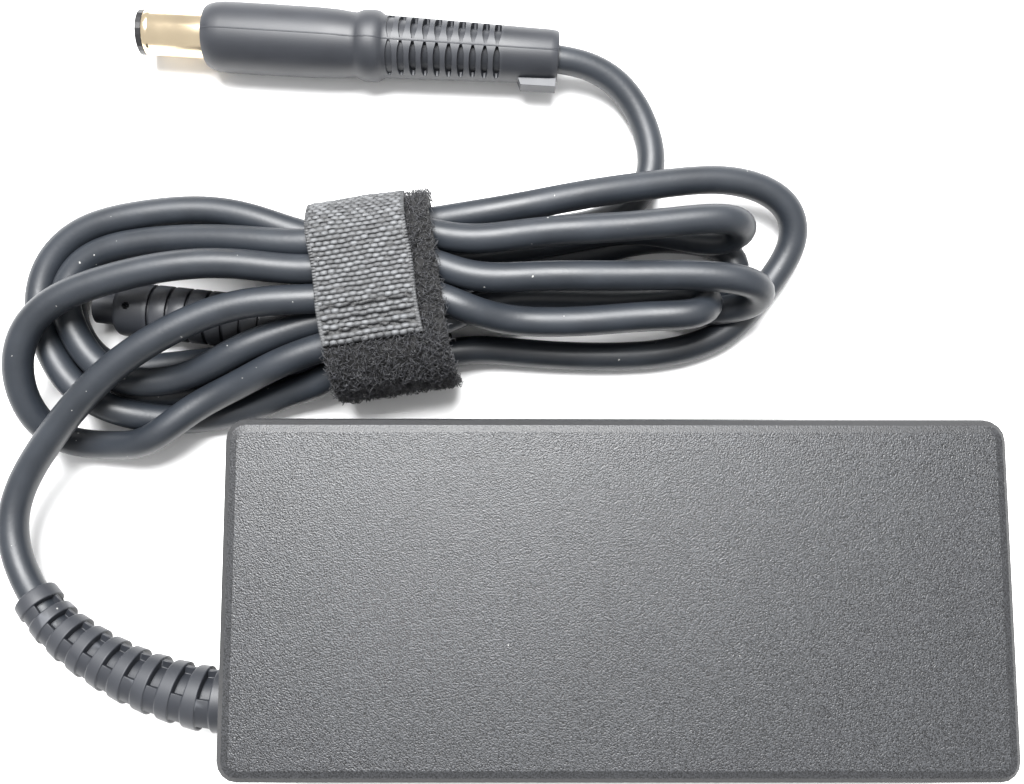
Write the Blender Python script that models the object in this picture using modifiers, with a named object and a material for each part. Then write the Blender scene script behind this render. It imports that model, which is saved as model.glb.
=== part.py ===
"""Laptop power adapter: the case with its circuit, the hanked output lead, its strap and its plugs.

Metres, +Z up. The origin is the middle of the case's underside, and +X runs to the mains inlet.
"""

import math

import bmesh
import bpy
from mathutils import Vector
from mathutils.geometry import interpolate_bezier

GAP = 0.0003  # between pieces that touch or sit in one another

# Case: two shells that meet at a seam on the axis of the lead and the inlet.
CASE_LENGTH = 0.107
CASE_WIDTH = 0.0485
CASE_HEIGHT = 0.0295
WALL = 0.0022
CORNER_RADIUS = 0.0030
SMALLEST_CORNER = 0.0006
EDGE_RADIUS = 0.0020
SEAM_HEIGHT = 0.01475
TONGUE_HEIGHT = 0.0015
TONGUE_THICKNESS = 0.0009
TONGUE_INSET = 0.0003
LABEL_LENGTH = 0.078
LABEL_WIDTH = 0.036
LABEL_THICKNESS = 0.00025
LABEL_RADIUS = 0.002
LABEL_RECESS = 0.0006

# Mains inlet: three pins in a cloverleaf recess, the earth pin lowest.
INLET_DEPTH = 0.0205
INLET_WIDTH = 0.0205
INLET_HEIGHT = 0.0180
INLET_RECESS = 0.0130
INLET_LEAF_RADIUS = 0.0042
INLET_PIN_RADIUS = 0.00115
INLET_PIN_REACH = 0.0100
INLET_TERMINAL = 0.0030
INLET_PIN_SPREAD = 0.0050
INLET_LIVE_RISE = 0.0021
INLET_EARTH_DROP = 0.0042
INLET_HUB_RISE = 0.0050

# Circuit board and what surrounds it.
BOARD_THICKNESS = 0.0016
BOARD_BOTTOM = 0.0050
BOARD_SIDE_ROOM = 0.0016
BOARD_LEAD_END_ROOM = 0.0053
SHEET_THICKNESS = 0.0005
SHEET_RISE = 0.0095
SPREADER_THICKNESS = 0.0008
SPREADER_DROP = 0.0125

# What stands on the board. A place along it is measured from its inlet end where it is negative and from
# its lead end where it is positive, and a place across it from its middle line.
BLOCKS = {  # size, along, across, rounding
    "x_capacitor": ((0.0075, 0.0150, 0.0125), -0.0060, 0.0114, 0.0005),
    "bridge_rectifier": ((0.0036, 0.0170, 0.0140), -0.0105, -0.0100, 0.0004),
    "primary_heatsink": ((0.0120, 0.0015, 0.0165), -0.0322, 0.0012, 0),
    "control_chip": ((0.0050, 0.0040, 0.0016), -0.0322, 0.0140, 0.0002),
    "optocoupler": ((0.0065, 0.0046, 0.0035), 0.0232, -0.0165, 0.0003),
    "output_heatsink": ((0.0015, 0.0106, 0.0165), 0.0083, 0, 0),
}
ROUNDS = {  # radius, length, axis, along, across, sides
    "fuse": (0.0023, 0.0090, "y", -0.0048, -0.0140, 16),
    "thermistor": (0.0045, 0.0038, "x", -0.0045, -0.0017, 20),
    "bulk_capacitor": (0.0080, 0.0240, "x", -0.0266, -0.0110, 28),
    "y_capacitor": (0.0038, 0.0032, "y", 0.0232, 0.0172, 20),
    "output_capacitor_a": (0.0040, 0.0160, "z", 0.0054, 0.0100, 20),
    "output_capacitor_b": (0.0040, 0.0160, "z", 0.0054, -0.0100, 20),
    "output_inductor": (0.0030, 0.0080, "z", 0.0105, 0.0160, 16),
}
PACKAGE_WIDTH = 0.0100
PACKAGE_THICKNESS = 0.0044
PACKAGE_HEIGHT = 0.0145
PACKAGE_ROUNDING = 0.0003
PAD_WIDTH = 0.0060
CHOKE_ALONG = -0.0180
CHOKE_ACROSS = 0.0112
CHOKE_CORE_RADIUS = 0.0064
CHOKE_CORE_BORE = 0.0032
CHOKE_CORE_HEIGHT = 0.0066
CHOKE_WRAP = 0.0011
CHOKE_WINDING_ANGLE = math.radians(124)
TRANSFORMER_ALONG = 0.0232
TRANSFORMER_BACK = 0.0040
TRANSFORMER_LEG = 0.0078
TRANSFORMER_OUTER_LEG = 0.0040
TRANSFORMER_WINDOW = 0.0040
TRANSFORMER_POST = 0.0080
TRANSFORMER_CORE_HEIGHT = 0.0100
TRANSFORMER_WRAP = 0.0030
WIRE_RADIUS = 0.0006
WIRE_PITCH = 0.0020
WIRE_BEND = 0.0015

# Lead: its diameter, its boot at the case and the hank that the rest of it makes. The boot, the lead and
# all that is on the lead are placed from the boot's exit through the case. The third numbers of the boot
# and the lead are heights, and those of the tail are its rise above where it lies on the ground.
CORD_DIAMETER = 0.0046
BOOT_WALL_DIAMETER = 0.0094
BOOT_END_DIAMETER = 0.0070
BOOT_COLLAR_DIAMETER = 0.0102
BOOT_COLLAR_LENGTH = 0.0014
BOOT_NECK_DIAMETER = 0.0064
BOOT_FLANGE_DIAMETER = 0.0110
BOOT_FLANGE_THICKNESS = 0.0017
BOOT_RIB_PITCH = 0.0031
BOOT_RIB_DEPTH = 0.0009
BOOT_RIB_SHAPE = ((0, 0), (0.55, 0), (0.60, 1), (0.95, 1))  # share of the pitch, share of the depth
BOOT_STEP = 0.00004  # a square shoulder's length
BOOT_SAMPLE = 0.0004
BOOT_SIDE_ROOM = 0.00035
BOOT_FROM_FRONT = WALL + BOOT_FLANGE_DIAMETER / 2 + BOOT_SIDE_ROOM
BOOT_ROUTE = [
    (-0.0051, 0.0003, 0.0147),
    (-0.0110, 0.0016, 0.0142),
    (-0.0165, 0.0033, 0.0134),
    (-0.0213, 0.0054, 0.0125),
    (-0.0262, 0.0081, 0.0115),
    (-0.0302, 0.0110, 0.0105),
    (-0.0335, 0.0145, 0.0096),
]
LEAD_ROUTE = [
    (-0.0362, 0.0188, 0.0088),
    (-0.0377, 0.0238, 0.0084),
    (-0.0373, 0.0297, 0.0086),
    (-0.0351, 0.0353, 0.0094),
]
TAIL_ROUTE = [
    (0.0625, 0.0823, 0.0003),
    (0.0627, 0.0872, 0.0003),
    (0.0607, 0.0937, 0.0009),
    (0.0561, 0.0991, 0.0022),
    (0.0507, 0.1014, 0.0032),
]
LEAD_END_ROOM = 0.0006
CORD_STEP = 0.008
HANK_HEIGHT = 0.018
HANK_OUTLINE = [
    (-0.0322, 0.0344),
    (-0.0245, 0.0360),
    (-0.0135, 0.0394),
    (-0.0025, 0.0438),
    (0.0085, 0.0470),
    (0.0215, 0.0478),
    (0.0335, 0.0488),
    (0.0475, 0.0488),
    (0.0615, 0.0500),
    (0.0735, 0.0542),
    (0.0820, 0.0607),
    (0.0860, 0.0682),
    (0.0855, 0.0747),
    (0.0800, 0.0797),
    (0.0715, 0.0817),
    (0.0625, 0.0820),
    (0.0525, 0.0807),
    (0.0395, 0.0770),
    (0.0255, 0.0746),
    (0.0115, 0.0746),
    (-0.0025, 0.0770),
    (-0.0155, 0.0777),
    (-0.0255, 0.0748),
    (-0.0333, 0.0687),
    (-0.0374, 0.0592),
    (-0.0379, 0.0472),
    (-0.0374, 0.0372),
]
HANK_EYE_ROOM = 0.0022
HANK_EYE_END_ROOM = 0.0012
HANK_EYE_CORNER = 0.0050

# Hook-and-loop strap: a loop tape round the hank's waist and a narrower hook tape over it.
LOOP_TAPE_WIDTH = 0.0185
HOOK_TAPE_WIDTH = 0.0150
STRAP_CENTRE = (0.0175, 0.0607)
STRAP_TURN = math.radians(9)
STRAP_WAIST_WIDTH = 0.0262
STRAP_WAIST_BOTTOM = 0.0022
STRAP_WAIST_TOP = 0.0174
STRAP_CORNER = 0.0060
LOOP_TAPE_THICKNESS = 0.0012
HOOK_TAPE_THICKNESS = 0.0009
LOOP_TAPE_SHIFT = 0.0018
HOOK_TAPE_FRONT_END = -0.0080
HOOK_TAPE_BACK_END = 0.0060

# Barrel plug at the far end of the lead, measured along its axis from its tip.
PLUG_TIP = (-0.0220, 0.1063)
PLUG_LIFT = 0.0001
PLUG_TURN = math.radians(-3.4)
PLUG_LENGTH = 0.0691
PLUG_GRIP_START = 0.0108
PLUG_GRIP_DIAMETER = 0.0113
PLUG_RING_START = 0.0360
PLUG_RING_END = 0.0402
PLUG_RING_ROUND = 0.0008
PLUG_FRONT_LENGTH = 0.0120
PLUG_WAIST_LENGTH = 0.0020
PLUG_WAIST_SHARE = 0.96  # of the grip's width, in front of the ring
PLUG_BACK_SHARE = 0.94  # behind the ring
PLUG_SLEEVE_SHARE = 0.92  # where the slots start
PLUG_SLOT_START = 0.0408
PLUG_SLOT_PITCH = 0.0020
PLUG_SLOT_COUNT = 9
PLUG_SLOT_WIDTH = 0.0010
PLUG_SLOT_DEPTH = 0.0011
PLUG_END_DIAMETER = 0.0084
PLUG_END_ROUND = 0.0004
PLUG_SOCKET_DEPTH = 0.0057
PLUG_NOSE_ROUND = 0.0018
PLUG_NOSE_LAND = 0.0002
BARREL_DIAMETER = 0.0074
BARREL_WALL = 0.0004
TIP_RING_LENGTH = 0.0009
TIP_RING_BORE = 0.0054
SLEEVE_DIAMETER = 0.0056
SLEEVE_WALL = 0.0003
PIN_DIAMETER = 0.0008
PIN_SETBACK = 0.0010

# Converter tip that lies in the eye of the hank, measured from its nose.
CONVERTER_NOSE = (-0.0280, 0.0605)
CONVERTER_LIFT = 0.0001
CONVERTER_TURN = math.radians(-6)
CONVERTER_NECK_LENGTH = 0.0038
CONVERTER_NECK_DIAMETER = 0.0056
CONVERTER_BODY_LENGTH = 0.0290
CONVERTER_BODY_DIAMETER = 0.0086
CONVERTER_COLLAR_LENGTH = 0.0052
CONVERTER_RIB_PITCH = 0.00295
CONVERTER_RIB_COUNT = 7
CONVERTER_GROOVE_WIDTH = 0.0006
CONVERTER_GROOVE_DEPTH = 0.0004
CONVERTER_END_SHAPE = ((0.60, 0.0004), (0.90, 0.0017), (1, 0.0038))  # share of the radius, way from the end
CONVERTER_SHOULDER_SHAPE = ((1, 0.0022), (0.88, 0.0002))
CONVERTER_CONTACT_DIAMETER = 0.0030
CONVERTER_CONTACT_REACH = 0.0004
CONVERTER_SEAT_DEPTH = 0.0020

EXIT = (-CASE_LENGTH / 2, BOOT_FROM_FRONT - CASE_WIDTH / 2)
PLUG_LEVEL = PLUG_GRIP_DIAMETER / 2 + PLUG_LIFT
SLOPE = 0.0001  # of a groove's sides
MERGE = 0.000002
ALONG_X = (math.pi / 2, 0, math.pi / 2)
POINT_AXIS = {"x": (0, math.pi / 2, 0), "y": (-math.pi / 2, 0, 0), "z": (0, 0, 0)}


def clear_scene():
    for obj in list(bpy.data.objects):
        bpy.data.objects.remove(obj, do_unlink=True)


def add_collection(name):
    collection = bpy.data.collections.new(name)
    bpy.context.scene.collection.children.link(collection)
    return collection


def paint(name, colour, roughness, metallic=0.0):
    material = bpy.data.materials.new(name)
    material.use_nodes = True
    shader = material.node_tree.nodes["Principled BSDF"]
    shader.inputs["Base Color"].default_value = (*colour, 1)
    shader.inputs["Roughness"].default_value = roughness
    shader.inputs["Metallic"].default_value = metallic
    return material


clear_scene()
PARTS = add_collection("laptop_power_adapter")
CUTTERS = add_collection("cutters")

CASE_BLACK = paint("case_black", (0.030, 0.031, 0.034), 0.55)
MOULDED_BLACK = paint("moulded_black", (0.018, 0.018, 0.020), 0.45)
CORD_GREY = paint("cord_grey", (0.035, 0.037, 0.042), 0.35)
LOOP_BLACK = paint("loop_black", (0.020, 0.020, 0.021), 0.95)
HOOK_GREY = paint("hook_grey", (0.060, 0.062, 0.066), 0.80)
PLATED_BRASS = paint("plated_brass", (0.83, 0.72, 0.52), 0.22, 1.0)
TINNED_COPPER = paint("tinned_copper", (0.72, 0.70, 0.66), 0.30, 1.0)
ALUMINIUM = paint("aluminium", (0.66, 0.67, 0.68), 0.38, 1.0)
BOARD_GREEN = paint("board_green", (0.10, 0.24, 0.08), 0.50)
FERRITE = paint("ferrite", (0.055, 0.053, 0.052), 0.70)
ENAMEL_COPPER = paint("enamel_copper", (0.62, 0.27, 0.10), 0.30, 0.8)
EPOXY_BLACK = paint("epoxy_black", (0.025, 0.025, 0.027), 0.50)
SLEEVE_BLUE = paint("sleeve_blue", (0.03, 0.07, 0.20), 0.40)
CERAMIC_BLUE = paint("ceramic_blue", (0.05, 0.15, 0.42), 0.45)
FILM_YELLOW = paint("film_yellow", (0.75, 0.55, 0.12), 0.45)
GLASS_CLEAR = paint("glass_clear", (0.70, 0.74, 0.74), 0.10)
PAD_GREY = paint("pad_grey", (0.45, 0.50, 0.55), 0.70)
SHEET_CLEAR = paint("sheet_clear", (0.75, 0.74, 0.68), 0.35)
LABEL_SILVER = paint("label_silver", (0.42, 0.43, 0.44), 0.40)
WIRE_RED = paint("wire_red", (0.50, 0.03, 0.02), 0.45)
WIRE_BLACK = paint("wire_black", (0.02, 0.02, 0.02), 0.45)
WIRE_WHITE = paint("wire_white", (0.75, 0.75, 0.72), 0.45)
WIRE_BROWN = paint("wire_brown", (0.16, 0.07, 0.03), 0.45)
WIRE_BLUE = paint("wire_blue", (0.03, 0.12, 0.45), 0.45)
WIRE_GREEN = paint("wire_green", (0.04, 0.30, 0.06), 0.45)


def place(name, data, finish, centre=(0, 0, 0), turn=(0, 0, 0), parent=None):
    obj = bpy.data.objects.new(name, data)
    data.name = name
    data.materials.clear()
    data.materials.append(finish)
    obj.location = centre
    obj.rotation_euler = turn
    obj.parent = parent
    PARTS.objects.link(obj)
    return obj


def as_cutter(obj):
    PARTS.objects.unlink(obj)
    CUTTERS.objects.link(obj)
    obj.hide_render = True
    obj.display_type = "WIRE"
    return obj


def boolean(obj, other, operation="DIFFERENCE"):
    modifier = obj.modifiers.new(other.name, "BOOLEAN")
    modifier.operation = operation
    modifier.solver = "EXACT"
    modifier.object = as_cutter(other) if other.name in PARTS.objects else other


def box_mesh(size, rounding=0.0):
    mesh = bpy.data.meshes.new("box")
    shape = bmesh.new()
    bmesh.ops.create_cube(shape, size=1)
    bmesh.ops.scale(shape, vec=size, verts=shape.verts)
    if rounding:
        bmesh.ops.bevel(
            shape, geom=shape.edges[:], offset=rounding, segments=2, profile=0.5, affect="EDGES"
        )
    shape.to_mesh(mesh)
    shape.free()
    return mesh


def box(name, size, centre, finish, rounding=0.0, turn=(0, 0, 0), parent=None):
    return place(name, box_mesh(size, rounding), finish, centre, turn, parent)


def cylinder(name, radius, length, centre, finish, axis="z", sides=24, parent=None):
    mesh = bpy.data.meshes.new(name)
    shape = bmesh.new()
    bmesh.ops.create_cone(
        shape, cap_ends=True, segments=sides, radius1=radius, radius2=radius, depth=length
    )
    shape.to_mesh(mesh)
    shape.free()
    mesh.shade_smooth()
    mesh.set_sharp_from_angle(angle=math.radians(40))
    return place(name, mesh, finish, centre, POINT_AXIS[axis], parent)


def turned(name, profile, finish, parent=None, closed=False, steps=24):
    """A profile of (radius, height) pairs, down its outer side, turned about Z."""
    mesh = bpy.data.meshes.new(name)
    count = len(profile)
    edges = [(i, (i + 1) % count) for i in range(count if closed else count - 1)]
    mesh.from_pydata([(radius, 0, height) for radius, height in profile], edges, [])
    obj = place(name, mesh, finish, parent=parent)
    screw = obj.modifiers.new("turn", "SCREW")
    screw.steps = steps
    screw.render_steps = steps
    screw.use_merge_vertices = True
    screw.merge_threshold = MERGE
    return obj


def mesh_from_curve(obj):
    """The curve object as a mesh object with its caps welded on."""
    bpy.context.view_layer.update()
    evaluated = obj.evaluated_get(bpy.context.evaluated_depsgraph_get())
    mesh = bpy.data.meshes.new_from_object(evaluated)
    shape = bmesh.new()
    shape.from_mesh(mesh)
    bmesh.ops.remove_doubles(shape, verts=shape.verts, dist=MERGE)
    bmesh.ops.recalc_face_normals(shape, faces=shape.faces)
    shape.to_mesh(mesh)
    shape.free()
    name, matrix, parent = obj.name, obj.matrix_world.copy(), obj.parent
    finish = obj.data.materials[0]
    bpy.data.objects.remove(obj, do_unlink=True)
    made = place(name, mesh, finish)
    made.matrix_world = matrix
    if parent:
        made.parent = parent
        made.matrix_parent_inverse = parent.matrix_world.inverted()
    return made


def outline(name, loops, depth, finish, centre=(0, 0, 0), turn=(0, 0, 0)):
    """A flat outline, with the loops after the first as holes, and depth along its own Z."""
    curve = bpy.data.curves.new(name, "CURVE")
    curve.dimensions = "2D"
    curve.fill_mode = "BOTH"
    curve.extrude = depth / 2
    for loop in loops:
        spline = curve.splines.new("POLY")
        spline.points.add(len(loop) - 1)
        for point, (x, y) in zip(spline.points, loop):
            point.co = (x, y, 0, 1)
        spline.use_cyclic_u = True
    return mesh_from_curve(place(name, curve, finish, centre, turn))


def tube(name, points, radii, finish, resolution=2):
    """A round tube through the points, with one radius or one for each point."""
    curve = bpy.data.curves.new(name, "CURVE")
    curve.dimensions = "3D"
    curve.bevel_depth = 1.0
    curve.bevel_resolution = resolution
    curve.use_fill_caps = True
    spline = curve.splines.new("POLY")
    spline.points.add(len(points) - 1)
    for index, point in enumerate(points):
        spline.points[index].co = (*point, 1)
        spline.points[index].radius = radii[index] if isinstance(radii, list) else radii
    return place(name, curve, finish)


def smooth_route(route, step):
    """Points about a step apart on a smooth curve through the route, which may be flat."""
    route = [Vector(point) for point in route]
    slopes = [route[1] - route[0]]
    slopes += [(after - before) / 2 for before, after in zip(route, route[2:])]
    slopes += [route[-1] - route[-2]]
    points = [route[0]]
    for index in range(len(route) - 1):
        start, end = route[index], route[index + 1]
        count = max(1, round((end - start).length / step)) + 1
        handles = start + slopes[index] / 3, end - slopes[index + 1] / 3
        points += interpolate_bezier(start, *handles, end, count)[1:]
    return points


def from_exit(x, y):
    return EXIT[0] + x, EXIT[1] + y


def rounded_rectangle(width, height, radius, centre=(0, 0), steps=4):
    points = []
    for quarter, (side_x, side_y) in enumerate(((1, 1), (-1, 1), (-1, -1), (1, -1))):
        middle_x = centre[0] + side_x * (width / 2 - radius)
        middle_y = centre[1] + side_y * (height / 2 - radius)
        for step in range(steps + 1):
            angle = (quarter + step / steps) * math.pi / 2
            points.append((middle_x + radius * math.cos(angle), middle_y + radius * math.sin(angle)))
    return points


def case_outline(inset):
    """The case's plan outline, moved inwards by the inset."""
    width, depth = CASE_LENGTH - 2 * inset, CASE_WIDTH - 2 * inset
    return rounded_rectangle(width, depth, max(CORNER_RADIUS - inset, SMALLEST_CORNER))


def case_half(name, seam_side, outer_face):
    """A shell from the seam to the outer face, open at the seam."""
    height = abs(outer_face - seam_side)
    up = 1 if outer_face > seam_side else -1
    mesh = bpy.data.meshes.new(name)
    shape = bmesh.new()
    bmesh.ops.create_cube(shape, size=1)
    bmesh.ops.scale(shape, vec=(CASE_LENGTH, CASE_WIDTH, height), verts=shape.verts)
    upright = [edge for edge in shape.edges if edge.verts[0].co.xy == edge.verts[1].co.xy]
    bmesh.ops.bevel(
        shape, geom=upright, offset=CORNER_RADIUS, segments=4, profile=0.5, affect="EDGES"
    )
    rim = [e for e in shape.edges if all(v.co.z * up > height * 0.49 for v in e.verts)]
    bmesh.ops.bevel(shape, geom=rim, offset=EDGE_RADIUS, segments=3, profile=0.5, affect="EDGES")
    open_side = [face for face in shape.faces if face.normal.z * up < -0.9]
    bmesh.ops.delete(shape, geom=open_side, context="FACES_ONLY")
    shape.to_mesh(mesh)
    shape.free()
    obj = place(name, mesh, CASE_BLACK, (0, 0, (seam_side + outer_face) / 2))
    walls = obj.modifiers.new("walls", "SOLIDIFY")
    walls.thickness = WALL
    walls.offset = -1
    walls.use_even_offset = True
    return obj


def tongue_ring(name, inner_inset, outer_inset, bottom, top):
    loops = [case_outline(outer_inset), case_outline(inner_inset)]
    return outline(name, loops, top - bottom, CASE_BLACK, (0, 0, (bottom + top) / 2))


def make_case():
    bottom = case_half("bottom_shell", SEAM_HEIGHT - GAP / 2, 0)
    top = case_half("top_shell", SEAM_HEIGHT + GAP / 2, CASE_HEIGHT)
    tongue_inner = WALL - TONGUE_INSET
    tongue_outer = tongue_inner - TONGUE_THICKNESS
    tongue_top = SEAM_HEIGHT + TONGUE_HEIGHT
    tongue = tongue_ring("tongue", tongue_inner, tongue_outer, SEAM_HEIGHT - TONGUE_HEIGHT, tongue_top)
    rebate = tongue_ring(
        "rebate", WALL + GAP, tongue_outer - GAP, SEAM_HEIGHT - TONGUE_HEIGHT, tongue_top + GAP
    )
    boolean(bottom, tongue, "UNION")
    boolean(top, rebate)

    lead_hole = cylinder(
        "lead_hole", BOOT_NECK_DIAMETER / 2 + GAP, 4 * WALL, (*EXIT, SEAM_HEIGHT), CASE_BLACK, "x"
    )
    inlet_size = (4 * WALL, INLET_WIDTH + 2 * GAP, INLET_HEIGHT + 2 * GAP)
    inlet_hole = box("inlet_hole", inlet_size, (CASE_LENGTH / 2, 0, SEAM_HEIGHT), CASE_BLACK)
    for shell in (bottom, top):
        boolean(shell, lead_hole)
        boolean(shell, inlet_hole)

    recess = outline(
        "label_recess",
        [rounded_rectangle(LABEL_LENGTH + 2 * GAP, LABEL_WIDTH + 2 * GAP, LABEL_RADIUS)],
        2 * LABEL_RECESS,
        CASE_BLACK,
    )
    boolean(bottom, recess)
    label_middle = LABEL_RECESS - GAP - LABEL_THICKNESS / 2
    outline(
        "rating_label",
        [rounded_rectangle(LABEL_LENGTH, LABEL_WIDTH, LABEL_RADIUS)],
        LABEL_THICKNESS,
        LABEL_SILVER,
        (0, 0, label_middle),
    )


def make_inlet():
    """The mains inlet, flush with the case's end."""
    face = CASE_LENGTH / 2 - GAP
    middle = face - INLET_DEPTH / 2
    size = (INLET_DEPTH, INLET_WIDTH, INLET_HEIGHT)
    housing = box("inlet_housing", size, (middle, 0, SEAM_HEIGHT), EPOXY_BLACK)
    floor = face - INLET_RECESS
    pins = {
        "live": (INLET_PIN_SPREAD, INLET_LIVE_RISE),
        "neutral": (-INLET_PIN_SPREAD, INLET_LIVE_RISE),
        "earth": (0, -INLET_EARTH_DROP),
    }
    hub_bottom = SEAM_HEIGHT - INLET_EARTH_DROP
    hub_top = SEAM_HEIGHT + INLET_HUB_RISE
    hub_size = (2 * INLET_RECESS, 2 * INLET_PIN_SPREAD, hub_top - hub_bottom)
    hub = box("recess_hub", hub_size, (face, 0, (hub_top + hub_bottom) / 2), EPOXY_BLACK)
    boolean(housing, hub)
    back = face - INLET_DEPTH
    pin_length = INLET_PIN_REACH + (floor - back) + INLET_TERMINAL
    for name, (across, rise) in pins.items():
        at = SEAM_HEIGHT + rise
        mouth = (face, across, at)
        leaf = cylinder(f"leaf_{name}", INLET_LEAF_RADIUS, 2 * INLET_RECESS, mouth, EPOXY_BLACK, "x", 20)
        boolean(housing, leaf)
        hole_radius = INLET_PIN_RADIUS + GAP
        inside = (middle, across, at)
        hole = cylinder(f"hole_{name}", hole_radius, 2 * INLET_DEPTH, inside, EPOXY_BLACK, "x", 12)
        boolean(housing, hole)
        centre = (back - INLET_TERMINAL + pin_length / 2, across, at)
        cylinder(f"{name}_pin", INLET_PIN_RADIUS, pin_length, centre, TINNED_COPPER, "x", 12)
    return back - INLET_TERMINAL, pins


def channel(width, height, thickness):
    """The section of a U-shaped channel that opens upwards, with its floor's underside at 0."""
    half = width / 2
    inner = half - thickness
    return [
        (-half, 0), (half, 0), (half, height), (inner, height),
        (inner, thickness), (-inner, thickness), (-inner, height), (-half, height),
    ]


def make_board(inlet_back):
    """The board, the insulating tray and the heat spreader; gives the parts' seat and the board's ends."""
    start = -CASE_LENGTH / 2 + WALL + BOARD_LEAD_END_ROOM
    end = inlet_back - 4 * GAP
    length, middle = end - start, (start + end) / 2
    inner_width = CASE_WIDTH - 2 * WALL
    board_width = inner_width - 2 * BOARD_SIDE_ROOM
    size = (length, board_width, BOARD_THICKNESS)
    box("circuit_board", size, (middle, 0, BOARD_BOTTOM + BOARD_THICKNESS / 2), BOARD_GREEN)

    sheet_width = inner_width - 2 * GAP
    section = channel(sheet_width, SHEET_RISE, SHEET_THICKNESS)
    outline("insulating_tray", [section], length, SHEET_CLEAR, (middle, 0, WALL + GAP), ALONG_X)

    spreader_width = sheet_width - 2 * SHEET_THICKNESS - 2 * GAP
    section = channel(spreader_width, SPREADER_DROP, SPREADER_THICKNESS)
    section = [(across, -rise) for across, rise in section]
    top = CASE_HEIGHT - WALL - GAP
    outline("heat_spreader", [section], length, ALUMINIUM, (middle, 0, top), ALONG_X)
    return BOARD_BOTTOM + BOARD_THICKNESS + GAP, start, end


def board_place(along, start, end):
    return start + along if along > 0 else end + along


def make_board_parts(seat, start, end):
    """The parts that stand on the board as plain blocks and rounds, each on its own finish."""
    finishes = {
        "x_capacitor": FILM_YELLOW,
        "primary_heatsink": ALUMINIUM,
        "output_heatsink": ALUMINIUM,
        "optocoupler": WIRE_WHITE,
        "fuse": GLASS_CLEAR,
        "bulk_capacitor": SLEEVE_BLUE,
        "y_capacitor": CERAMIC_BLUE,
        "output_capacitor_a": SLEEVE_BLUE,
        "output_capacitor_b": SLEEVE_BLUE,
        "output_inductor": ENAMEL_COPPER,
    }
    for name, (size, along, across, rounding) in BLOCKS.items():
        centre = (board_place(along, start, end), across, seat + size[2] / 2)
        box(name, size, centre, finishes.get(name, EPOXY_BLACK), rounding)
    for name, (radius, length, axis, along, across, sides) in ROUNDS.items():
        rise = length / 2 if axis == "z" else radius
        centre = (board_place(along, start, end), across, seat + rise)
        cylinder(name, radius, length, centre, finishes.get(name, EPOXY_BLACK), axis, sides)

    plate, along, across, _ = BLOCKS["primary_heatsink"]
    offset = plate[1] / 2 + GAP + PACKAGE_THICKNESS / 2
    centre = (board_place(along, start, end), across + offset, seat + PACKAGE_HEIGHT / 2)
    size = (PACKAGE_WIDTH, PACKAGE_THICKNESS, PACKAGE_HEIGHT)
    box("power_transistor", size, centre, EPOXY_BLACK, PACKAGE_ROUNDING)
    plate, along, across, _ = BLOCKS["output_heatsink"]
    offset = plate[0] / 2 + GAP + PACKAGE_THICKNESS / 2
    centre = (board_place(along, start, end) - offset, across, seat + PACKAGE_HEIGHT / 2)
    size = (PACKAGE_THICKNESS, PACKAGE_WIDTH, PACKAGE_HEIGHT)
    box("output_rectifier", size, centre, EPOXY_BLACK, PACKAGE_ROUNDING)


def make_choke(seat, centre):
    """A ring core with a winding round each half of it."""
    room = GAP + CHOKE_WRAP
    middle = (*centre, seat + room + CHOKE_CORE_HEIGHT / 2)
    arc_steps = 8

    def ring(name, outer, inner, height, finish):
        top = height / 2
        profile = [(outer, top), (outer, -top), (inner, -top), (inner, top)]
        obj = turned(name, profile, finish, closed=True)
        obj.location = middle
        return obj

    ring("choke_core", CHOKE_CORE_RADIUS, CHOKE_CORE_BORE, CHOKE_CORE_HEIGHT, FERRITE)
    outer, inner = CHOKE_CORE_RADIUS + room, CHOKE_CORE_BORE - room
    for name, facing in (("choke_winding_live", 0), ("choke_winding_neutral", math.pi)):
        first = facing - CHOKE_WINDING_ANGLE / 2
        angles = [first + CHOKE_WINDING_ANGLE * step / arc_steps for step in range(arc_steps + 1)]
        loop = [(outer * math.cos(angle), outer * math.sin(angle)) for angle in angles]
        loop += [(inner * math.cos(angle), inner * math.sin(angle)) for angle in reversed(angles)]
        winding = outline(name, [loop], CHOKE_CORE_HEIGHT + 2 * room, ENAMEL_COPPER, middle)
        void_height = CHOKE_CORE_HEIGHT + 2 * GAP
        void = ring(
            f"{name}_void", CHOKE_CORE_RADIUS + GAP, CHOKE_CORE_BORE - GAP, void_height, FERRITE
        )
        boolean(winding, void)


def make_transformer(seat, centre_x):
    """Two E-shaped core halves that meet in the winding."""
    middle_z = seat + TRANSFORMER_WRAP + GAP + TRANSFORMER_CORE_HEIGHT / 2
    post = TRANSFORMER_POST / 2
    half = post + TRANSFORMER_WINDOW + TRANSFORMER_OUTER_LEG
    back = TRANSFORMER_BACK
    tip = back + TRANSFORMER_LEG
    inner = half - TRANSFORMER_OUTER_LEG
    section = [
        (0, -half), (tip, -half), (tip, -inner), (back, -inner), (back, -post), (tip, -post),
        (tip, post), (back, post), (back, inner), (tip, inner), (tip, half), (0, half),
    ]
    reach = tip + GAP / 2
    for name, side, turn in (("rear", -1, 0), ("front", 1, math.pi)):
        centre = (centre_x + side * reach, 0, middle_z)
        name = f"transformer_core_{name}"
        outline(name, [section], TRANSFORMER_CORE_HEIGHT, FERRITE, centre, (0, 0, turn))
    width, height = TRANSFORMER_POST + 2 * GAP, TRANSFORMER_CORE_HEIGHT + 2 * GAP
    wrap = TRANSFORMER_WRAP
    loops = [
        rounded_rectangle(width + 2 * wrap, height + 2 * wrap, wrap, steps=3),
        rounded_rectangle(width, height, GAP, steps=1),
    ]
    length = 2 * TRANSFORMER_LEG - GAP
    outline("transformer_winding", loops, length, FILM_YELLOW, (centre_x, 0, middle_z), ALONG_X)


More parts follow.
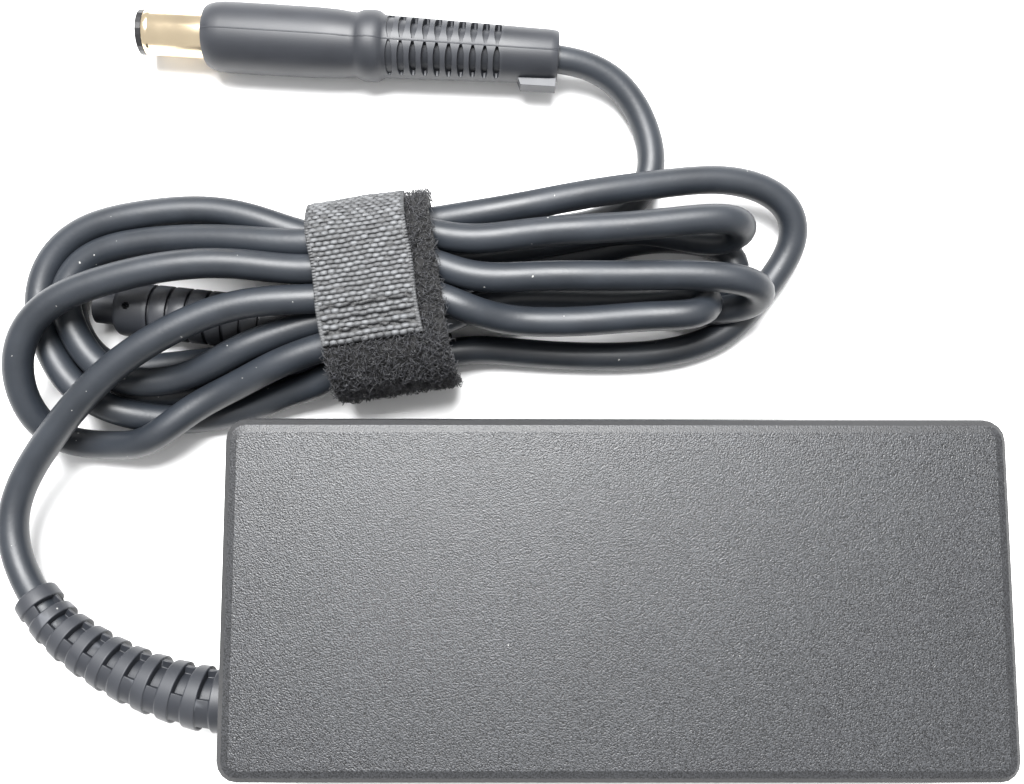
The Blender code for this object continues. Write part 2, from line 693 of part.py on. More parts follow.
def make_thermal_pads(seat, start, end):
    """A soft pad between each heatsink's top edge and the heat spreader."""
    spreader_bottom = CASE_HEIGHT - WALL - GAP - SPREADER_THICKNESS
    high = spreader_bottom - GAP
    for side in ("primary", "output"):
        plate, along, across, _ = BLOCKS[f"{side}_heatsink"]
        low = seat + plate[2] + GAP
        size = (max(plate[0], PAD_WIDTH), max(plate[1], PAD_WIDTH), high - low)
        centre = (board_place(along, start, end), across, (low + high) / 2)
        box(f"{side}_thermal_pad", size, centre, PAD_GREY)


def bent_wire(name, leaves, foot, seat, finish):
    """A wire that leaves along X, bends down at its foot and ends on the board."""
    x, across, level = leaves
    back = math.copysign(WIRE_BEND, x - foot)
    points = [
        leaves,
        (foot + back, across, level),
        (foot + back * 0.3, across, level - WIRE_BEND * 0.3),
        (foot, across, level - WIRE_BEND),
        (foot, across, seat),
    ]
    tube(name, points, WIRE_RADIUS, finish, 1)


def make_inner_wires(seat, start, end, terminals, pins):
    """Three mains wires and three output wires, each bent down to the board."""
    finishes = {"live": WIRE_BROWN, "neutral": WIRE_BLUE, "earth": WIRE_GREEN}
    for name, (across, rise) in pins.items():
        leaves = (terminals - GAP, across, SEAM_HEIGHT + rise)
        bent_wire(f"{name}_wire", leaves, end - 2 * WIRE_RADIUS, seat, finishes[name])
    boot_inner = EXIT[0] + WALL + 2 * GAP + BOOT_FLANGE_THICKNESS
    output_wires = (("positive_wire", WIRE_RED), ("return_wire", WIRE_BLACK), ("sense_wire", WIRE_WHITE))
    for order, (name, finish) in enumerate(output_wires):
        leaves = (boot_inner, EXIT[1] + (order - 1) * WIRE_PITCH, SEAM_HEIGHT)
        bent_wire(name, leaves, start + 4 * WIRE_RADIUS, seat, finish)


def make_boot():
    """The strain relief: flange inside the case, neck through its wall, ribbed and tapering sleeve."""
    level = (EXIT[1], SEAM_HEIGHT)
    inside = EXIT[0] + WALL + GAP
    outside = EXIT[0] - GAP
    collar_end = outside - BOOT_COLLAR_LENGTH
    sleeve = [
        (inside + BOOT_FLANGE_THICKNESS, BOOT_FLANGE_DIAMETER),
        (inside, BOOT_FLANGE_DIAMETER),
        (inside - BOOT_STEP, BOOT_NECK_DIAMETER),
        (outside + BOOT_STEP, BOOT_NECK_DIAMETER),
        (outside, BOOT_COLLAR_DIAMETER),
        (collar_end, BOOT_COLLAR_DIAMETER),
    ]
    points = [(x, *level) for x, _ in sleeve]
    radii = [diameter / 2 for _, diameter in sleeve]

    bend = [(*from_exit(x, y), z) for x, y, z in BOOT_ROUTE]
    route = smooth_route([(collar_end - BOOT_STEP, *level), *bend], BOOT_SAMPLE)
    run = [0.0]
    for before, after in zip(route, route[1:]):
        run.append(run[-1] + (after - before).length)
    total = run[-1]
    ribs = round(total / BOOT_RIB_PITCH)
    pitch = total / ribs
    index = 0
    for rib in range(ribs):
        last = rib == ribs - 1
        for share, grooved in ((0, 0), (1, 0)) if last else BOOT_RIB_SHAPE:
            target = (rib + share) * pitch
            while index < len(run) - 2 and run[index + 1] < target:
                index += 1
            part = min(1, max(0, (target - run[index]) / (run[index + 1] - run[index])))
            points.append(tuple(route[index].lerp(route[index + 1], part)))
            width = BOOT_WALL_DIAMETER + (BOOT_END_DIAMETER - BOOT_WALL_DIAMETER) * target / total
            radii.append(width / 2 - grooved * BOOT_RIB_DEPTH)
    tube("lead_boot", points, radii, MOULDED_BLACK, 3)


def make_lead():
    """The lead's two plain stretches and the hank between them."""
    radius = CORD_DIAMETER / 2
    before, last = (Vector((*from_exit(x, y), z)) for x, y, z in BOOT_ROUTE[-2:])
    leaves = last + (last - before).normalized() * LEAD_END_ROOM
    lead = [leaves] + [(*from_exit(x, y), z) for x, y, z in LEAD_ROUTE]
    tube("cable_lead", smooth_route(lead, CORD_STEP), radius, CORD_GREY)

    tail = [(*from_exit(x, y), radius + rise) for x, y, rise in TAIL_ROUTE]
    reach = PLUG_LENGTH + LEAD_END_ROOM
    x, y = from_exit(*PLUG_TIP)
    enters = (x + reach * math.cos(PLUG_TURN), y + reach * math.sin(PLUG_TURN), PLUG_LEVEL)
    tube("cable_tail", smooth_route([*tail, enters], CORD_STEP), radius, CORD_GREY)

    ring = [from_exit(x, y) for x, y in HANK_OUTLINE]
    edge = [(point.x, point.y) for point in smooth_route([(*point, 0) for point in ring], CORD_STEP)]
    eye_length = CONVERTER_NECK_LENGTH + CONVERTER_BODY_LENGTH
    eye_start = Vector(from_exit(*CONVERTER_NOSE))
    along = Vector((math.cos(CONVERTER_TURN), math.sin(CONVERTER_TURN)))
    across = Vector((-along.y, along.x))
    eye_centre = eye_start + along * eye_length / 2
    eye_width = CONVERTER_BODY_DIAMETER + 2 * HANK_EYE_ROOM
    corners = rounded_rectangle(
        eye_length + 2 * HANK_EYE_END_ROOM, eye_width, HANK_EYE_CORNER, steps=3
    )
    eye = [tuple(eye_centre + along * x + across * y) for x, y in corners]
    hank = outline("cable_hank", [edge, eye], HANK_HEIGHT, CORD_GREY, (0, 0, HANK_HEIGHT / 2))

    waist_height = STRAP_WAIST_TOP - STRAP_WAIST_BOTTOM
    waist = rounded_rectangle(STRAP_WAIST_WIDTH, waist_height, STRAP_CORNER)
    around = rounded_rectangle(2 * STRAP_WAIST_WIDTH, 3 * HANK_HEIGHT, GAP, steps=1)
    cut_width = LOOP_TAPE_WIDTH + 2 * GAP
    centre, turn = strap_place(LOOP_TAPE_SHIFT)
    groove = outline("strap_groove", [around, waist], cut_width, CORD_GREY, centre, turn)
    boolean(hank, groove)


def strap_place(shift):
    """Where a strap tape's section stands, moved along the hank by the shift."""
    centre = from_exit(*STRAP_CENTRE)
    x = centre[0] + shift * math.cos(STRAP_TURN)
    y = centre[1] + shift * math.sin(STRAP_TURN)
    level = (STRAP_WAIST_TOP + STRAP_WAIST_BOTTOM) / 2
    return (x, y, level), (math.pi / 2, 0, math.pi / 2 + STRAP_TURN)


def strap_ring(name, inner_rise, thickness, tape_width, shift, finish):
    """A closed band round the waist, its inner face that far off it."""
    width, height = STRAP_WAIST_WIDTH, STRAP_WAIST_TOP - STRAP_WAIST_BOTTOM
    loops = []
    for rise in (inner_rise + thickness, inner_rise):
        loops.append(rounded_rectangle(width + 2 * rise, height + 2 * rise, STRAP_CORNER + rise))
    return outline(name, loops, tape_width, finish, *strap_place(shift))


def make_strap():
    strap_ring(
        "strap_loop_tape", GAP, LOOP_TAPE_THICKNESS, LOOP_TAPE_WIDTH, LOOP_TAPE_SHIFT, LOOP_BLACK
    )
    over = GAP + LOOP_TAPE_THICKNESS + GAP
    hook = strap_ring("strap_hook_tape", over, HOOK_TAPE_THICKNESS, HOOK_TAPE_WIDTH, 0, HOOK_GREY)
    centre = Vector(strap_place(0)[0])
    turn = (0, 0, STRAP_TURN)
    across = Vector((-math.sin(STRAP_TURN), math.cos(STRAP_TURN), 0))
    width, height = 2 * STRAP_WAIST_WIDTH, 3 * HANK_HEIGHT
    low = centre.copy()
    low.z = HOOK_TAPE_BACK_END - height / 2
    size = (2 * HOOK_TAPE_WIDTH, width, height)
    boolean(hook, box("hook_tape_under", size, low, HOOK_GREY, turn=turn))
    ahead = centre + across * (HOOK_TAPE_FRONT_END - width / 2)
    boolean(hook, box("hook_tape_front", size, ahead, HOOK_GREY, turn=turn))


def axis_frame(name, start, turn):
    """An empty whose Z runs along a plug from its tip, level with the ground."""
    frame = bpy.data.objects.new(name, None)
    frame.location = start
    frame.rotation_euler = (0, math.pi / 2, turn)
    PARTS.objects.link(frame)
    return frame


def make_plug():
    """The barrel plug: its overmould, contacts and insulator on one axis."""
    frame = axis_frame("plug_axis", (*from_exit(*PLUG_TIP), PLUG_LEVEL), PLUG_TURN)
    socket_floor = PLUG_GRIP_START + PLUG_SOCKET_DEPTH
    grip, end = PLUG_GRIP_DIAMETER / 2, PLUG_END_DIAMETER / 2
    socket = BARREL_DIAMETER / 2 + GAP
    round_off = min(PLUG_NOSE_ROUND, grip - socket - PLUG_NOSE_LAND)
    rounded = PLUG_END_ROUND
    profile = [(0, PLUG_LENGTH), (end - rounded, PLUG_LENGTH), (end, PLUG_LENGTH - rounded)]
    slots_end = PLUG_SLOT_START + PLUG_SLOT_COUNT * PLUG_SLOT_PITCH
    profile.append((end, slots_end))
    for slot in reversed(range(PLUG_SLOT_COUNT)):
        far = PLUG_SLOT_START + slot * PLUG_SLOT_PITCH + PLUG_SLOT_WIDTH
        near = far - PLUG_SLOT_WIDTH
        share = slot / (PLUG_SLOT_COUNT - 1)
        outer = grip * PLUG_SLEEVE_SHARE * (1 - share) + end * share
        floor = outer - PLUG_SLOT_DEPTH
        profile += [(outer, far), (floor, far - SLOPE), (floor, near + SLOPE), (outer, near)]
    profile += [
        (grip * PLUG_BACK_SHARE, PLUG_RING_END),
        (grip, PLUG_RING_END - PLUG_RING_ROUND),
        (grip, PLUG_RING_START),
        (grip * PLUG_WAIST_SHARE, PLUG_RING_START - PLUG_WAIST_LENGTH),
        (grip, PLUG_GRIP_START + PLUG_FRONT_LENGTH),
        (grip, PLUG_GRIP_START + round_off),
        (grip - 0.3 * round_off, PLUG_GRIP_START + 0.3 * round_off),
        (grip - round_off, PLUG_GRIP_START),
        (socket, PLUG_GRIP_START),
        (socket, socket_floor),
        (0, socket_floor),
    ]
    turned("plug_overmould", profile, MOULDED_BLACK, frame)

    barrel, bore = BARREL_DIAMETER / 2, BARREL_DIAMETER / 2 - BARREL_WALL
    back = socket_floor - GAP

    def sleeve(name, outer, inner, start, finish, stop=back):
        profile = [(outer, stop), (outer, start), (inner, start), (inner, stop)]
        turned(name, profile, finish, frame, closed=True)

    sleeve("plug_outer_barrel", barrel, bore, TIP_RING_LENGTH + GAP, PLATED_BRASS)
    sleeve("plug_tip_ring", barrel, TIP_RING_BORE / 2, 0, MOULDED_BLACK, TIP_RING_LENGTH)
    sleeve(
        "plug_inner_sleeve", SLEEVE_DIAMETER / 2, SLEEVE_DIAMETER / 2 - SLEEVE_WALL,
        TIP_RING_LENGTH + GAP, PLATED_BRASS,
    )
    pin_start = TIP_RING_LENGTH + PIN_SETBACK
    pin = PIN_DIAMETER / 2
    profile = [(0, back), (pin, back), (pin, pin_start), (0, pin_start - pin)]
    turned("plug_centre_pin", profile, PLATED_BRASS, frame, steps=12)


def make_converter():
    """The converter tip: a ribbed body with a neck that holds its contact."""
    level = CONVERTER_BODY_DIAMETER / 2 + CONVERTER_LIFT
    frame = axis_frame("converter_axis", (*from_exit(*CONVERTER_NOSE), level), CONVERTER_TURN)
    body, neck = CONVERTER_BODY_DIAMETER / 2, CONVERTER_NECK_DIAMETER / 2
    body_start = CONVERTER_NECK_LENGTH
    body_end = body_start + CONVERTER_BODY_LENGTH
    profile = [(0, body_end)]
    profile += [(body * share, body_end - way) for share, way in CONVERTER_END_SHAPE]
    for rib in reversed(range(CONVERTER_RIB_COUNT)):
        near = body_start + CONVERTER_COLLAR_LENGTH + rib * CONVERTER_RIB_PITCH
        far = near + CONVERTER_GROOVE_WIDTH
        low = body - CONVERTER_GROOVE_DEPTH
        profile += [(body, far), (low, far - SLOPE), (low, near + SLOPE), (body, near)]
    contact = CONVERTER_CONTACT_DIAMETER / 2
    profile += [(body * share, body_start + way) for share, way in CONVERTER_SHOULDER_SHAPE]
    profile += [
        (neck, body_start),
        (neck, 0),
        (contact + GAP, 0),
        (contact + GAP, CONVERTER_SEAT_DEPTH),
        (0, CONVERTER_SEAT_DEPTH),
    ]
    turned("converter_body", profile, MOULDED_BLACK, frame, steps=20)
    profile = [
        (0, CONVERTER_SEAT_DEPTH - GAP),
        (contact, CONVERTER_SEAT_DEPTH - GAP),
        (contact, -CONVERTER_CONTACT_REACH),
        (0, -CONVERTER_CONTACT_REACH),
    ]
    turned("converter_contact", profile, PLATED_BRASS, frame, steps=12)


def build():
    make_case()
    terminals, pins = make_inlet()
    seat, start, end = make_board(terminals)
    make_board_parts(seat, start, end)
    make_choke(seat, (board_place(CHOKE_ALONG, start, end), CHOKE_ACROSS))
    make_transformer(seat, board_place(TRANSFORMER_ALONG, start, end))
    make_thermal_pads(seat, start, end)
    make_inner_wires(seat, start, end, terminals, pins)
    make_boot()
    make_lead()
    make_strap()
    make_plug()
    make_converter()


build()
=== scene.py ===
import math
import bmesh
import bpy
import numpy
from mathutils import Matrix, Vector


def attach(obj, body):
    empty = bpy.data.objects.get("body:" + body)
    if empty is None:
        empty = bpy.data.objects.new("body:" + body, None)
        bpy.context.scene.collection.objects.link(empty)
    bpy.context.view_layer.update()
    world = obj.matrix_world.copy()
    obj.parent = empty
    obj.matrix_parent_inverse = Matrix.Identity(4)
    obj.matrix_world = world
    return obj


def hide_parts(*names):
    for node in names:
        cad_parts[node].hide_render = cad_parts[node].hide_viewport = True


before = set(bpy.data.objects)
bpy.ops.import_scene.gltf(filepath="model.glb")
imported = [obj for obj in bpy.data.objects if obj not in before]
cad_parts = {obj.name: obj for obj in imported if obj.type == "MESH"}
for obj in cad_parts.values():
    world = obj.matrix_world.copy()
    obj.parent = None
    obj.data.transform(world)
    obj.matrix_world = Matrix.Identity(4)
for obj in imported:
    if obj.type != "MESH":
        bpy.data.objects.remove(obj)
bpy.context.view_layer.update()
mm = 0.001
sceneObjects = bpy.context.scene.collection
print("frame loaded,", len(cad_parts), "nodes")

# camera, lights and world; the floor is laid at the end
cameraSetup = {
    "place": (-0.01472, 0.01391, 0.16505),
    "turn": (5.83, -0.217, 0.064),
    "lens": 35.16,
    "sensor": 36,
}
cameraData = bpy.data.cameras.new("adapterCamera")
cameraData.lens = cameraSetup["lens"]
cameraData.sensor_width = cameraSetup["sensor"]
cameraData.clip_start = 0.005
cameraObject = bpy.data.objects.new("adapterCamera", cameraData)
cameraObject.location = cameraSetup["place"]
cameraObject.rotation_euler = [math.radians(angle) for angle in cameraSetup["turn"]]
sceneObjects.objects.link(cameraObject)
bpy.context.scene.camera = cameraObject

studioLights = {
    "keyBox": {"place": (-0.06, 0.21, 0.46), "size": 0.26, "power": 8.5},
    "fillBox": {"place": (0.34, -0.22, 0.50), "size": 0.50, "power": 0.3},
    "topBox": {"place": (-0.02, 0.42, 0.50), "size": 0.30, "power": 1.0},
    "worldBrightness": 0.80,
}


def addSoftBox(name, setup):
    light = bpy.data.lights.new(name, "AREA")
    light.size = setup["size"]
    light.energy = setup["power"]
    box = bpy.data.objects.new(name, light)
    box.location = setup["place"]
    aim = Vector((0, 0.01, 0)) - box.location
    box.rotation_euler = aim.to_track_quat("-Z", "Y").to_euler()
    sceneObjects.objects.link(box)


for lightName in ("keyBox", "fillBox", "topBox"):
    addSoftBox(lightName, studioLights[lightName])
studioWorld = bpy.data.worlds.new("paleStudio")
studioWorld.use_nodes = True
studioBackground = studioWorld.node_tree.nodes["Background"]
studioBackground.inputs["Color"].default_value = (1, 1, 1, 1)
studioBackground.inputs["Strength"].default_value = studioLights["worldBrightness"]
bpy.context.scene.world = studioWorld
bpy.context.scene.view_settings.view_transform = "Standard"
print("camera and lights placed")


# node helpers
def addNode(tree, kind, feeds=None, **settings):
    node = tree.nodes.new(kind)
    for name, value in settings.items():
        setattr(node, name, value)
    for socket, value in (feeds or {}).items():
        if isinstance(value, bpy.types.NodeSocket):
            tree.links.new(value, node.inputs[socket])
        else:
            node.inputs[socket].default_value = value
    return node


def mathNode(tree, operation, first, second=None, clamp=False):
    feeds = {0: first} if second is None else {0: first, 1: second}
    return addNode(tree, "ShaderNodeMath", feeds, operation=operation, use_clamp=clamp).outputs[0]


def multiply(tree, first, second):
    return mathNode(tree, "MULTIPLY", first, second)


def mixColour(tree, amount, first, second, blend="MIX"):
    feeds = {"Factor": amount, 6: first, 7: second}
    return addNode(tree, "ShaderNodeMix", feeds, data_type="RGBA", blend_type=blend).outputs[2]


def spread(tree, value, low, high, start=0.0, end=1.0):
    feeds = {"Value": value, "From Min": low, "From Max": high, "To Min": start, "To Max": end}
    return addNode(tree, "ShaderNodeMapRange", feeds).outputs[0]


def newGroup(name, takes, gives):
    tree = bpy.data.node_groups.new(name, "ShaderNodeTree")
    for label, kind in takes:
        tree.interface.new_socket(label, in_out="INPUT", socket_type="NodeSocket" + kind)
    for label, kind in gives:
        tree.interface.new_socket(label, in_out="OUTPUT", socket_type="NodeSocket" + kind)
    return tree, addNode(tree, "NodeGroupInput").outputs, addNode(tree, "NodeGroupOutput").inputs


# effects that several materials share
def makeGroups():
    tree, take, give = newGroup(
        "surfaceGrain", [("Vector", "Vector"), ("Size", "Float"), ("Coarse", "Float")], [("Height", "Float")]
    )
    scale = mathNode(tree, "DIVIDE", 1.0, take["Size"])
    fineLook = {"Vector": take["Vector"], "Scale": scale, "Detail": 2.0, "Roughness": 0.6}
    fine = addNode(tree, "ShaderNodeTexNoise", fineLook)
    cells = addNode(tree, "ShaderNodeTexVoronoi", {"Vector": take["Vector"], "Scale": scale}, feature="SMOOTH_F1")
    pits = spread(tree, cells.outputs["Distance"], 0.1, 0.7)
    blend = addNode(
        tree, "ShaderNodeMix", {"Factor": take["Coarse"], 2: fine.outputs["Fac"], 3: pits}, data_type="FLOAT"
    )
    tree.links.new(blend.outputs[0], give["Height"])

    tree, take, give = newGroup(
        "settledDust", [("Vector", "Vector"), ("Size", "Float"), ("Share", "Float")], [("Mask", "Float")]
    )
    scale = mathNode(tree, "DIVIDE", 1.0, take["Size"])
    drift = addNode(tree, "ShaderNodeTexNoise", {"Vector": take["Vector"], "Scale": 900.0, "Detail": 3.0})
    bent = addNode(tree, "ShaderNodeVectorMath", {0: drift.outputs["Color"]}, operation="SCALE")
    bent.inputs["Scale"].default_value = 0.0008
    moved = addNode(tree, "ShaderNodeVectorMath", {0: take["Vector"], 1: bent.outputs[0]}, operation="ADD")
    specks = addNode(tree, "ShaderNodeTexVoronoi", {"Vector": moved.outputs[0], "Scale": scale})
    draw = addNode(tree, "ShaderNodeSeparateColor", {"Color": specks.outputs["Color"]})
    chosen = mathNode(tree, "LESS_THAN", draw.outputs[0], take["Share"])
    reach = spread(tree, draw.outputs[1], 0, 1, 0.04, 0.13)
    near = mathNode(tree, "LESS_THAN", specks.outputs["Distance"], reach)
    tree.links.new(multiply(tree, chosen, near), give["Mask"])

    tree, take, give = newGroup("edgeWear", [("Low", "Float"), ("High", "Float")], [("Mask", "Float")])
    shape = addNode(tree, "ShaderNodeNewGeometry")
    tree.links.new(spread(tree, shape.outputs["Pointiness"], take["Low"], take["High"]), give["Mask"])

    tree, take, give = newGroup(
        "shadeDrift",
        [("Vector", "Vector"), ("Size", "Float"), ("Amount", "Float"), ("Colour", "Color")],
        [("Colour", "Color"), ("Value", "Float")],
    )
    scale = mathNode(tree, "DIVIDE", 1.0, take["Size"])
    cloud = addNode(tree, "ShaderNodeTexNoise", {"Vector": take["Vector"], "Scale": scale, "Detail": 4.0})
    value = spread(tree, cloud.outputs["Fac"], 0.3, 0.7)
    swing = multiply(tree, mathNode(tree, "SUBTRACT", value, 0.5), take["Amount"])
    gain = mathNode(tree, "ADD", swing, 1.0)
    tinted = addNode(tree, "ShaderNodeVectorMath", {0: take["Colour"], "Scale": gain}, operation="SCALE")
    tree.links.new(tinted.outputs[0], give["Colour"])
    tree.links.new(value, give["Value"])

    tree, take, give = newGroup(
        "brushLines", [("Vector", "Vector"), ("Stretch", "Vector")], [("Height", "Float")]
    )
    pulled = addNode(tree, "ShaderNodeVectorMath", {0: take["Vector"], 1: take["Stretch"]}, operation="MULTIPLY")
    lineLook = {"Vector": pulled.outputs[0], "Scale": 1.0, "Detail": 3.0, "Roughness": 0.7}
    lines = addNode(tree, "ShaderNodeTexNoise", lineLook)
    tree.links.new(lines.outputs["Fac"], give["Height"])


makeGroups()


def useGroup(tree, name, **feeds):
    node = addNode(tree, "ShaderNodeGroup", node_tree=bpy.data.node_groups[name])
    for socket, value in feeds.items():
        if isinstance(value, bpy.types.NodeSocket):
            tree.links.new(value, node.inputs[socket])
        else:
            node.inputs[socket].default_value = value
    return node.outputs


def startMaterial(name, **constants):
    material = bpy.data.materials.new(name)
    material.use_nodes = True
    tree = material.node_tree
    shader = tree.nodes["Principled BSDF"]
    for socket, value in constants.items():
        shader.inputs[socket.replace("_", " ")].default_value = value
    place = addNode(tree, "ShaderNodeTexCoord").outputs["Object"]
    return material, tree, shader, place


def finishBump(tree, shader, height, depth, strength=1.0, normal=None):
    feeds = {"Height": height, "Distance": depth, "Strength": strength}
    if normal is not None:
        feeds["Normal"] = normal
    bump = addNode(tree, "ShaderNodeBump", feeds).outputs[0]
    tree.links.new(bump, shader.inputs["Normal"])
    return bump


# finish of a plain moulding or metal: sizes of its grain and depth in millimetres, dust and wear as shares
def makeFinish(name, colour, rough, metal=0.0, grain=0.4, depth=0.02, coarse=0.3, drift=0.18, dust=0.0, wear=0.0,
               roughSwing=0.08, coat=0.0, brush=None, alpha=1.0):
    material, tree, shader, place = startMaterial(name, Coat_Weight=coat, Coat_Roughness=0.25, Alpha=alpha)
    shader.inputs["Metallic"].default_value = metal
    shade = useGroup(tree, "shadeDrift", Vector=place, Size=0.007, Amount=drift, Colour=(*colour, 1))
    tone = shade["Colour"]
    roughness = spread(tree, shade["Value"], 0, 1, rough - roughSwing / 2, rough + roughSwing / 2)
    if wear:
        edge = useGroup(tree, "edgeWear", Low=0.52, High=0.62)["Mask"]
        worn = tuple(min(1, part * (1 + wear) + 0.04 * wear) for part in colour)
        tone = mixColour(tree, multiply(tree, edge, min(1, wear)), tone, (*worn, 1))
    if dust:
        specks = useGroup(tree, "settledDust", Vector=place, Size=0.0012, Share=dust)["Mask"]
        tone = mixColour(tree, multiply(tree, specks, 0.5), tone, (0.50, 0.50, 0.48, 1))
        roughness = mathNode(tree, "MAXIMUM", roughness, multiply(tree, specks, 0.8))
    tree.links.new(tone, shader.inputs["Base Color"])
    tree.links.new(roughness, shader.inputs["Roughness"])
    if brush:
        height = useGroup(tree, "brushLines", Vector=place, Stretch=brush)["Height"]
    else:
        height = useGroup(tree, "surfaceGrain", Vector=place, Size=grain * mm, Coarse=coarse)["Height"]
    finishBump(tree, shader, height, depth * mm)
    return material


# finishes for the pieces inside the case and for those whose finish is a plain moulding or metal
partFinishes = {
    "labelFilm": dict(colour=(0.36, 0.37, 0.38), rough=0.42, grain=0.5, depth=0.004, drift=0.06),
    "inletPlastic": dict(colour=(0.022, 0.022, 0.024), rough=0.45, grain=0.3, depth=0.012, wear=0.5, dust=0.02),
    "pinMetal": dict(colour=(0.50, 0.48, 0.44), rough=0.34, metal=1.0, depth=0.004, brush=(300, 9000, 9000)),
    "boardLaminate": dict(colour=(0.03, 0.13, 0.03), rough=0.38, grain=0.8, depth=0.01, coat=0.3),
    "insulatingFilm": dict(colour=(0.72, 0.70, 0.62), rough=0.35, grain=2.0, depth=0.02),
    "spreaderAluminium": dict(colour=(0.66, 0.67, 0.68), rough=0.36, metal=1.0, depth=0.006, brush=(400, 12000, 12000)),
    "fuseGlass": dict(colour=(0.72, 0.76, 0.76), rough=0.08, grain=1.5, depth=0.004, alpha=0.6, drift=0.05),
    "componentEpoxy": dict(colour=(0.02, 0.02, 0.022), rough=0.55, grain=0.12, depth=0.008),
    "filmCase": dict(colour=(0.70, 0.46, 0.05), rough=0.3, grain=0.7, depth=0.008, coat=0.2),
    "ferriteCore": dict(colour=(0.05, 0.048, 0.047), rough=0.6, grain=0.1, depth=0.02, coarse=0.8, wear=0.6),
    "windingCopper": dict(
        colour=(0.62, 0.24, 0.08), rough=0.28, metal=1.0, depth=0.03, brush=(3500, 200, 200), coat=0.5
    ),
    "capacitorSleeve": dict(colour=(0.015, 0.04, 0.16), rough=0.25, grain=1.5, depth=0.01, coat=0.3),
    "transformerTape": dict(colour=(0.72, 0.48, 0.04), rough=0.35, depth=0.01, brush=(150, 150, 900), coat=0.2),
    "ceramicDisc": dict(colour=(0.03, 0.11, 0.38), rough=0.3, grain=0.9, depth=0.02, coat=0.3),
    "couplerPlastic": dict(colour=(0.72, 0.72, 0.68), rough=0.5, grain=0.2, depth=0.006),
    "padSilicone": dict(colour=(0.42, 0.47, 0.52), rough=0.75, grain=0.3, depth=0.015),
    "tipPlastic": dict(colour=(0.014, 0.014, 0.015), rough=0.28, grain=0.4, depth=0.004),
    "plugContact": dict(
        colour=(0.80, 0.66, 0.46), rough=0.2, metal=1.0, depth=0.004, brush=(14000, 600, 600), roughSwing=0.10,
        drift=0.1,
    ),
    "contactMetal": dict(colour=(0.80, 0.76, 0.68), rough=0.2, metal=1.0, depth=0.003, brush=(9000, 500, 500)),
    "mouldedVinyl": dict(
        colour=(0.0138, 0.0156, 0.0202), rough=0.50, grain=0.22, depth=0.009, dust=0.03, wear=0.9, drift=0.3,
        coarse=0.15,
    ),
    "cordJacket": dict(
        colour=(0.0128, 0.0160, 0.0212), rough=0.45, grain=0.7, depth=0.02, dust=0.06, drift=0.35, coarse=0.1
    ),
}
wireColours = {
    "wireBrown": (0.14, 0.055, 0.02), "wireBlue": (0.02, 0.09, 0.40), "wireGreen": (0.03, 0.26, 0.04),
    "wireRed": (0.45, 0.02, 0.015), "wireBlack": (0.016, 0.016, 0.016), "wireWhite": (0.72, 0.72, 0.69),
}
for wireName, colour in wireColours.items():
    partFinishes[wireName] = dict(colour=colour, rough=0.42, grain=0.5, depth=0.008)
finishes = {name: makeFinish(name, **values) for name, values in partFinishes.items()}


# spark-eroded grain on the case's flats, its rounded edges smoother; the grain's pale high points and dark pits are
# painted sparkle and painted shade over its real bump
caseFinish = {
    "dark": (0.002, 0.0021, 0.0026, 1),
    "pale": (0.036, 0.038, 0.042, 1),
    "edge": (0.008, 0.0082, 0.0092, 1),
    "wornEdge": (0.09, 0.09, 0.095, 1),
    "dust": (0.5, 0.5, 0.48, 1),
    "grain": 0.00019,
    "depth": 0.00010,
    "rough": (0.28, 0.44),
    "edgeRough": 0.25,
}


def makeCaseFinish():
    material, tree, shader, place = startMaterial("caseShell", Metallic=0.0)
    grain = useGroup(tree, "surfaceGrain", Vector=place, Size=caseFinish["grain"], Coarse=0.35)["Height"]
    shape = addNode(tree, "ShaderNodeNewGeometry")
    facing = addNode(tree, "ShaderNodeVectorMath", {0: shape.outputs["Normal"]}, operation="ABSOLUTE")
    parts = addNode(tree, "ShaderNodeSeparateXYZ", {0: facing.outputs[0]}).outputs
    flattest = mathNode(tree, "MAXIMUM", mathNode(tree, "MAXIMUM", parts[0], parts[1]), parts[2])
    flat = spread(tree, flattest, 0.93, 0.995, 0.25, 1)
    height = multiply(tree, grain, flat)
    # painted sparkle: the grain's high points take the pale colour and its pits the dark one, as light catching the
    # grain would give; the rounded edges take the plain darker edge tone instead
    paintedSparkle = spread(tree, grain, 0.36, 0.64)
    tone = mixColour(tree, paintedSparkle, caseFinish["dark"], caseFinish["pale"])
    tone = mixColour(tree, flat, caseFinish["edge"], tone)
    drifted = useGroup(tree, "shadeDrift", Vector=place, Size=0.02, Amount=0.14, Colour=tone)
    specks = useGroup(tree, "settledDust", Vector=place, Size=0.0011, Share=0.010)["Mask"]
    tone = mixColour(tree, multiply(tree, specks, 0.5), drifted["Colour"], caseFinish["dust"])
    edge = useGroup(tree, "edgeWear", Low=0.53, High=0.60)["Mask"]
    tone = mixColour(tree, multiply(tree, edge, 0.12), tone, caseFinish["wornEdge"])
    tree.links.new(tone, shader.inputs["Base Color"])
    gloss = spread(tree, grain, 0.3, 0.7, *caseFinish["rough"])
    smoothEdge = multiply(tree, mathNode(tree, "SUBTRACT", 1.0, flat), caseFinish["edgeRough"])
    tree.links.new(mathNode(tree, "ADD", gloss, smoothEdge), shader.inputs["Roughness"])
    finishBump(tree, shader, height, caseFinish["depth"])
    return material


finishes["caseShell"] = makeCaseFinish()

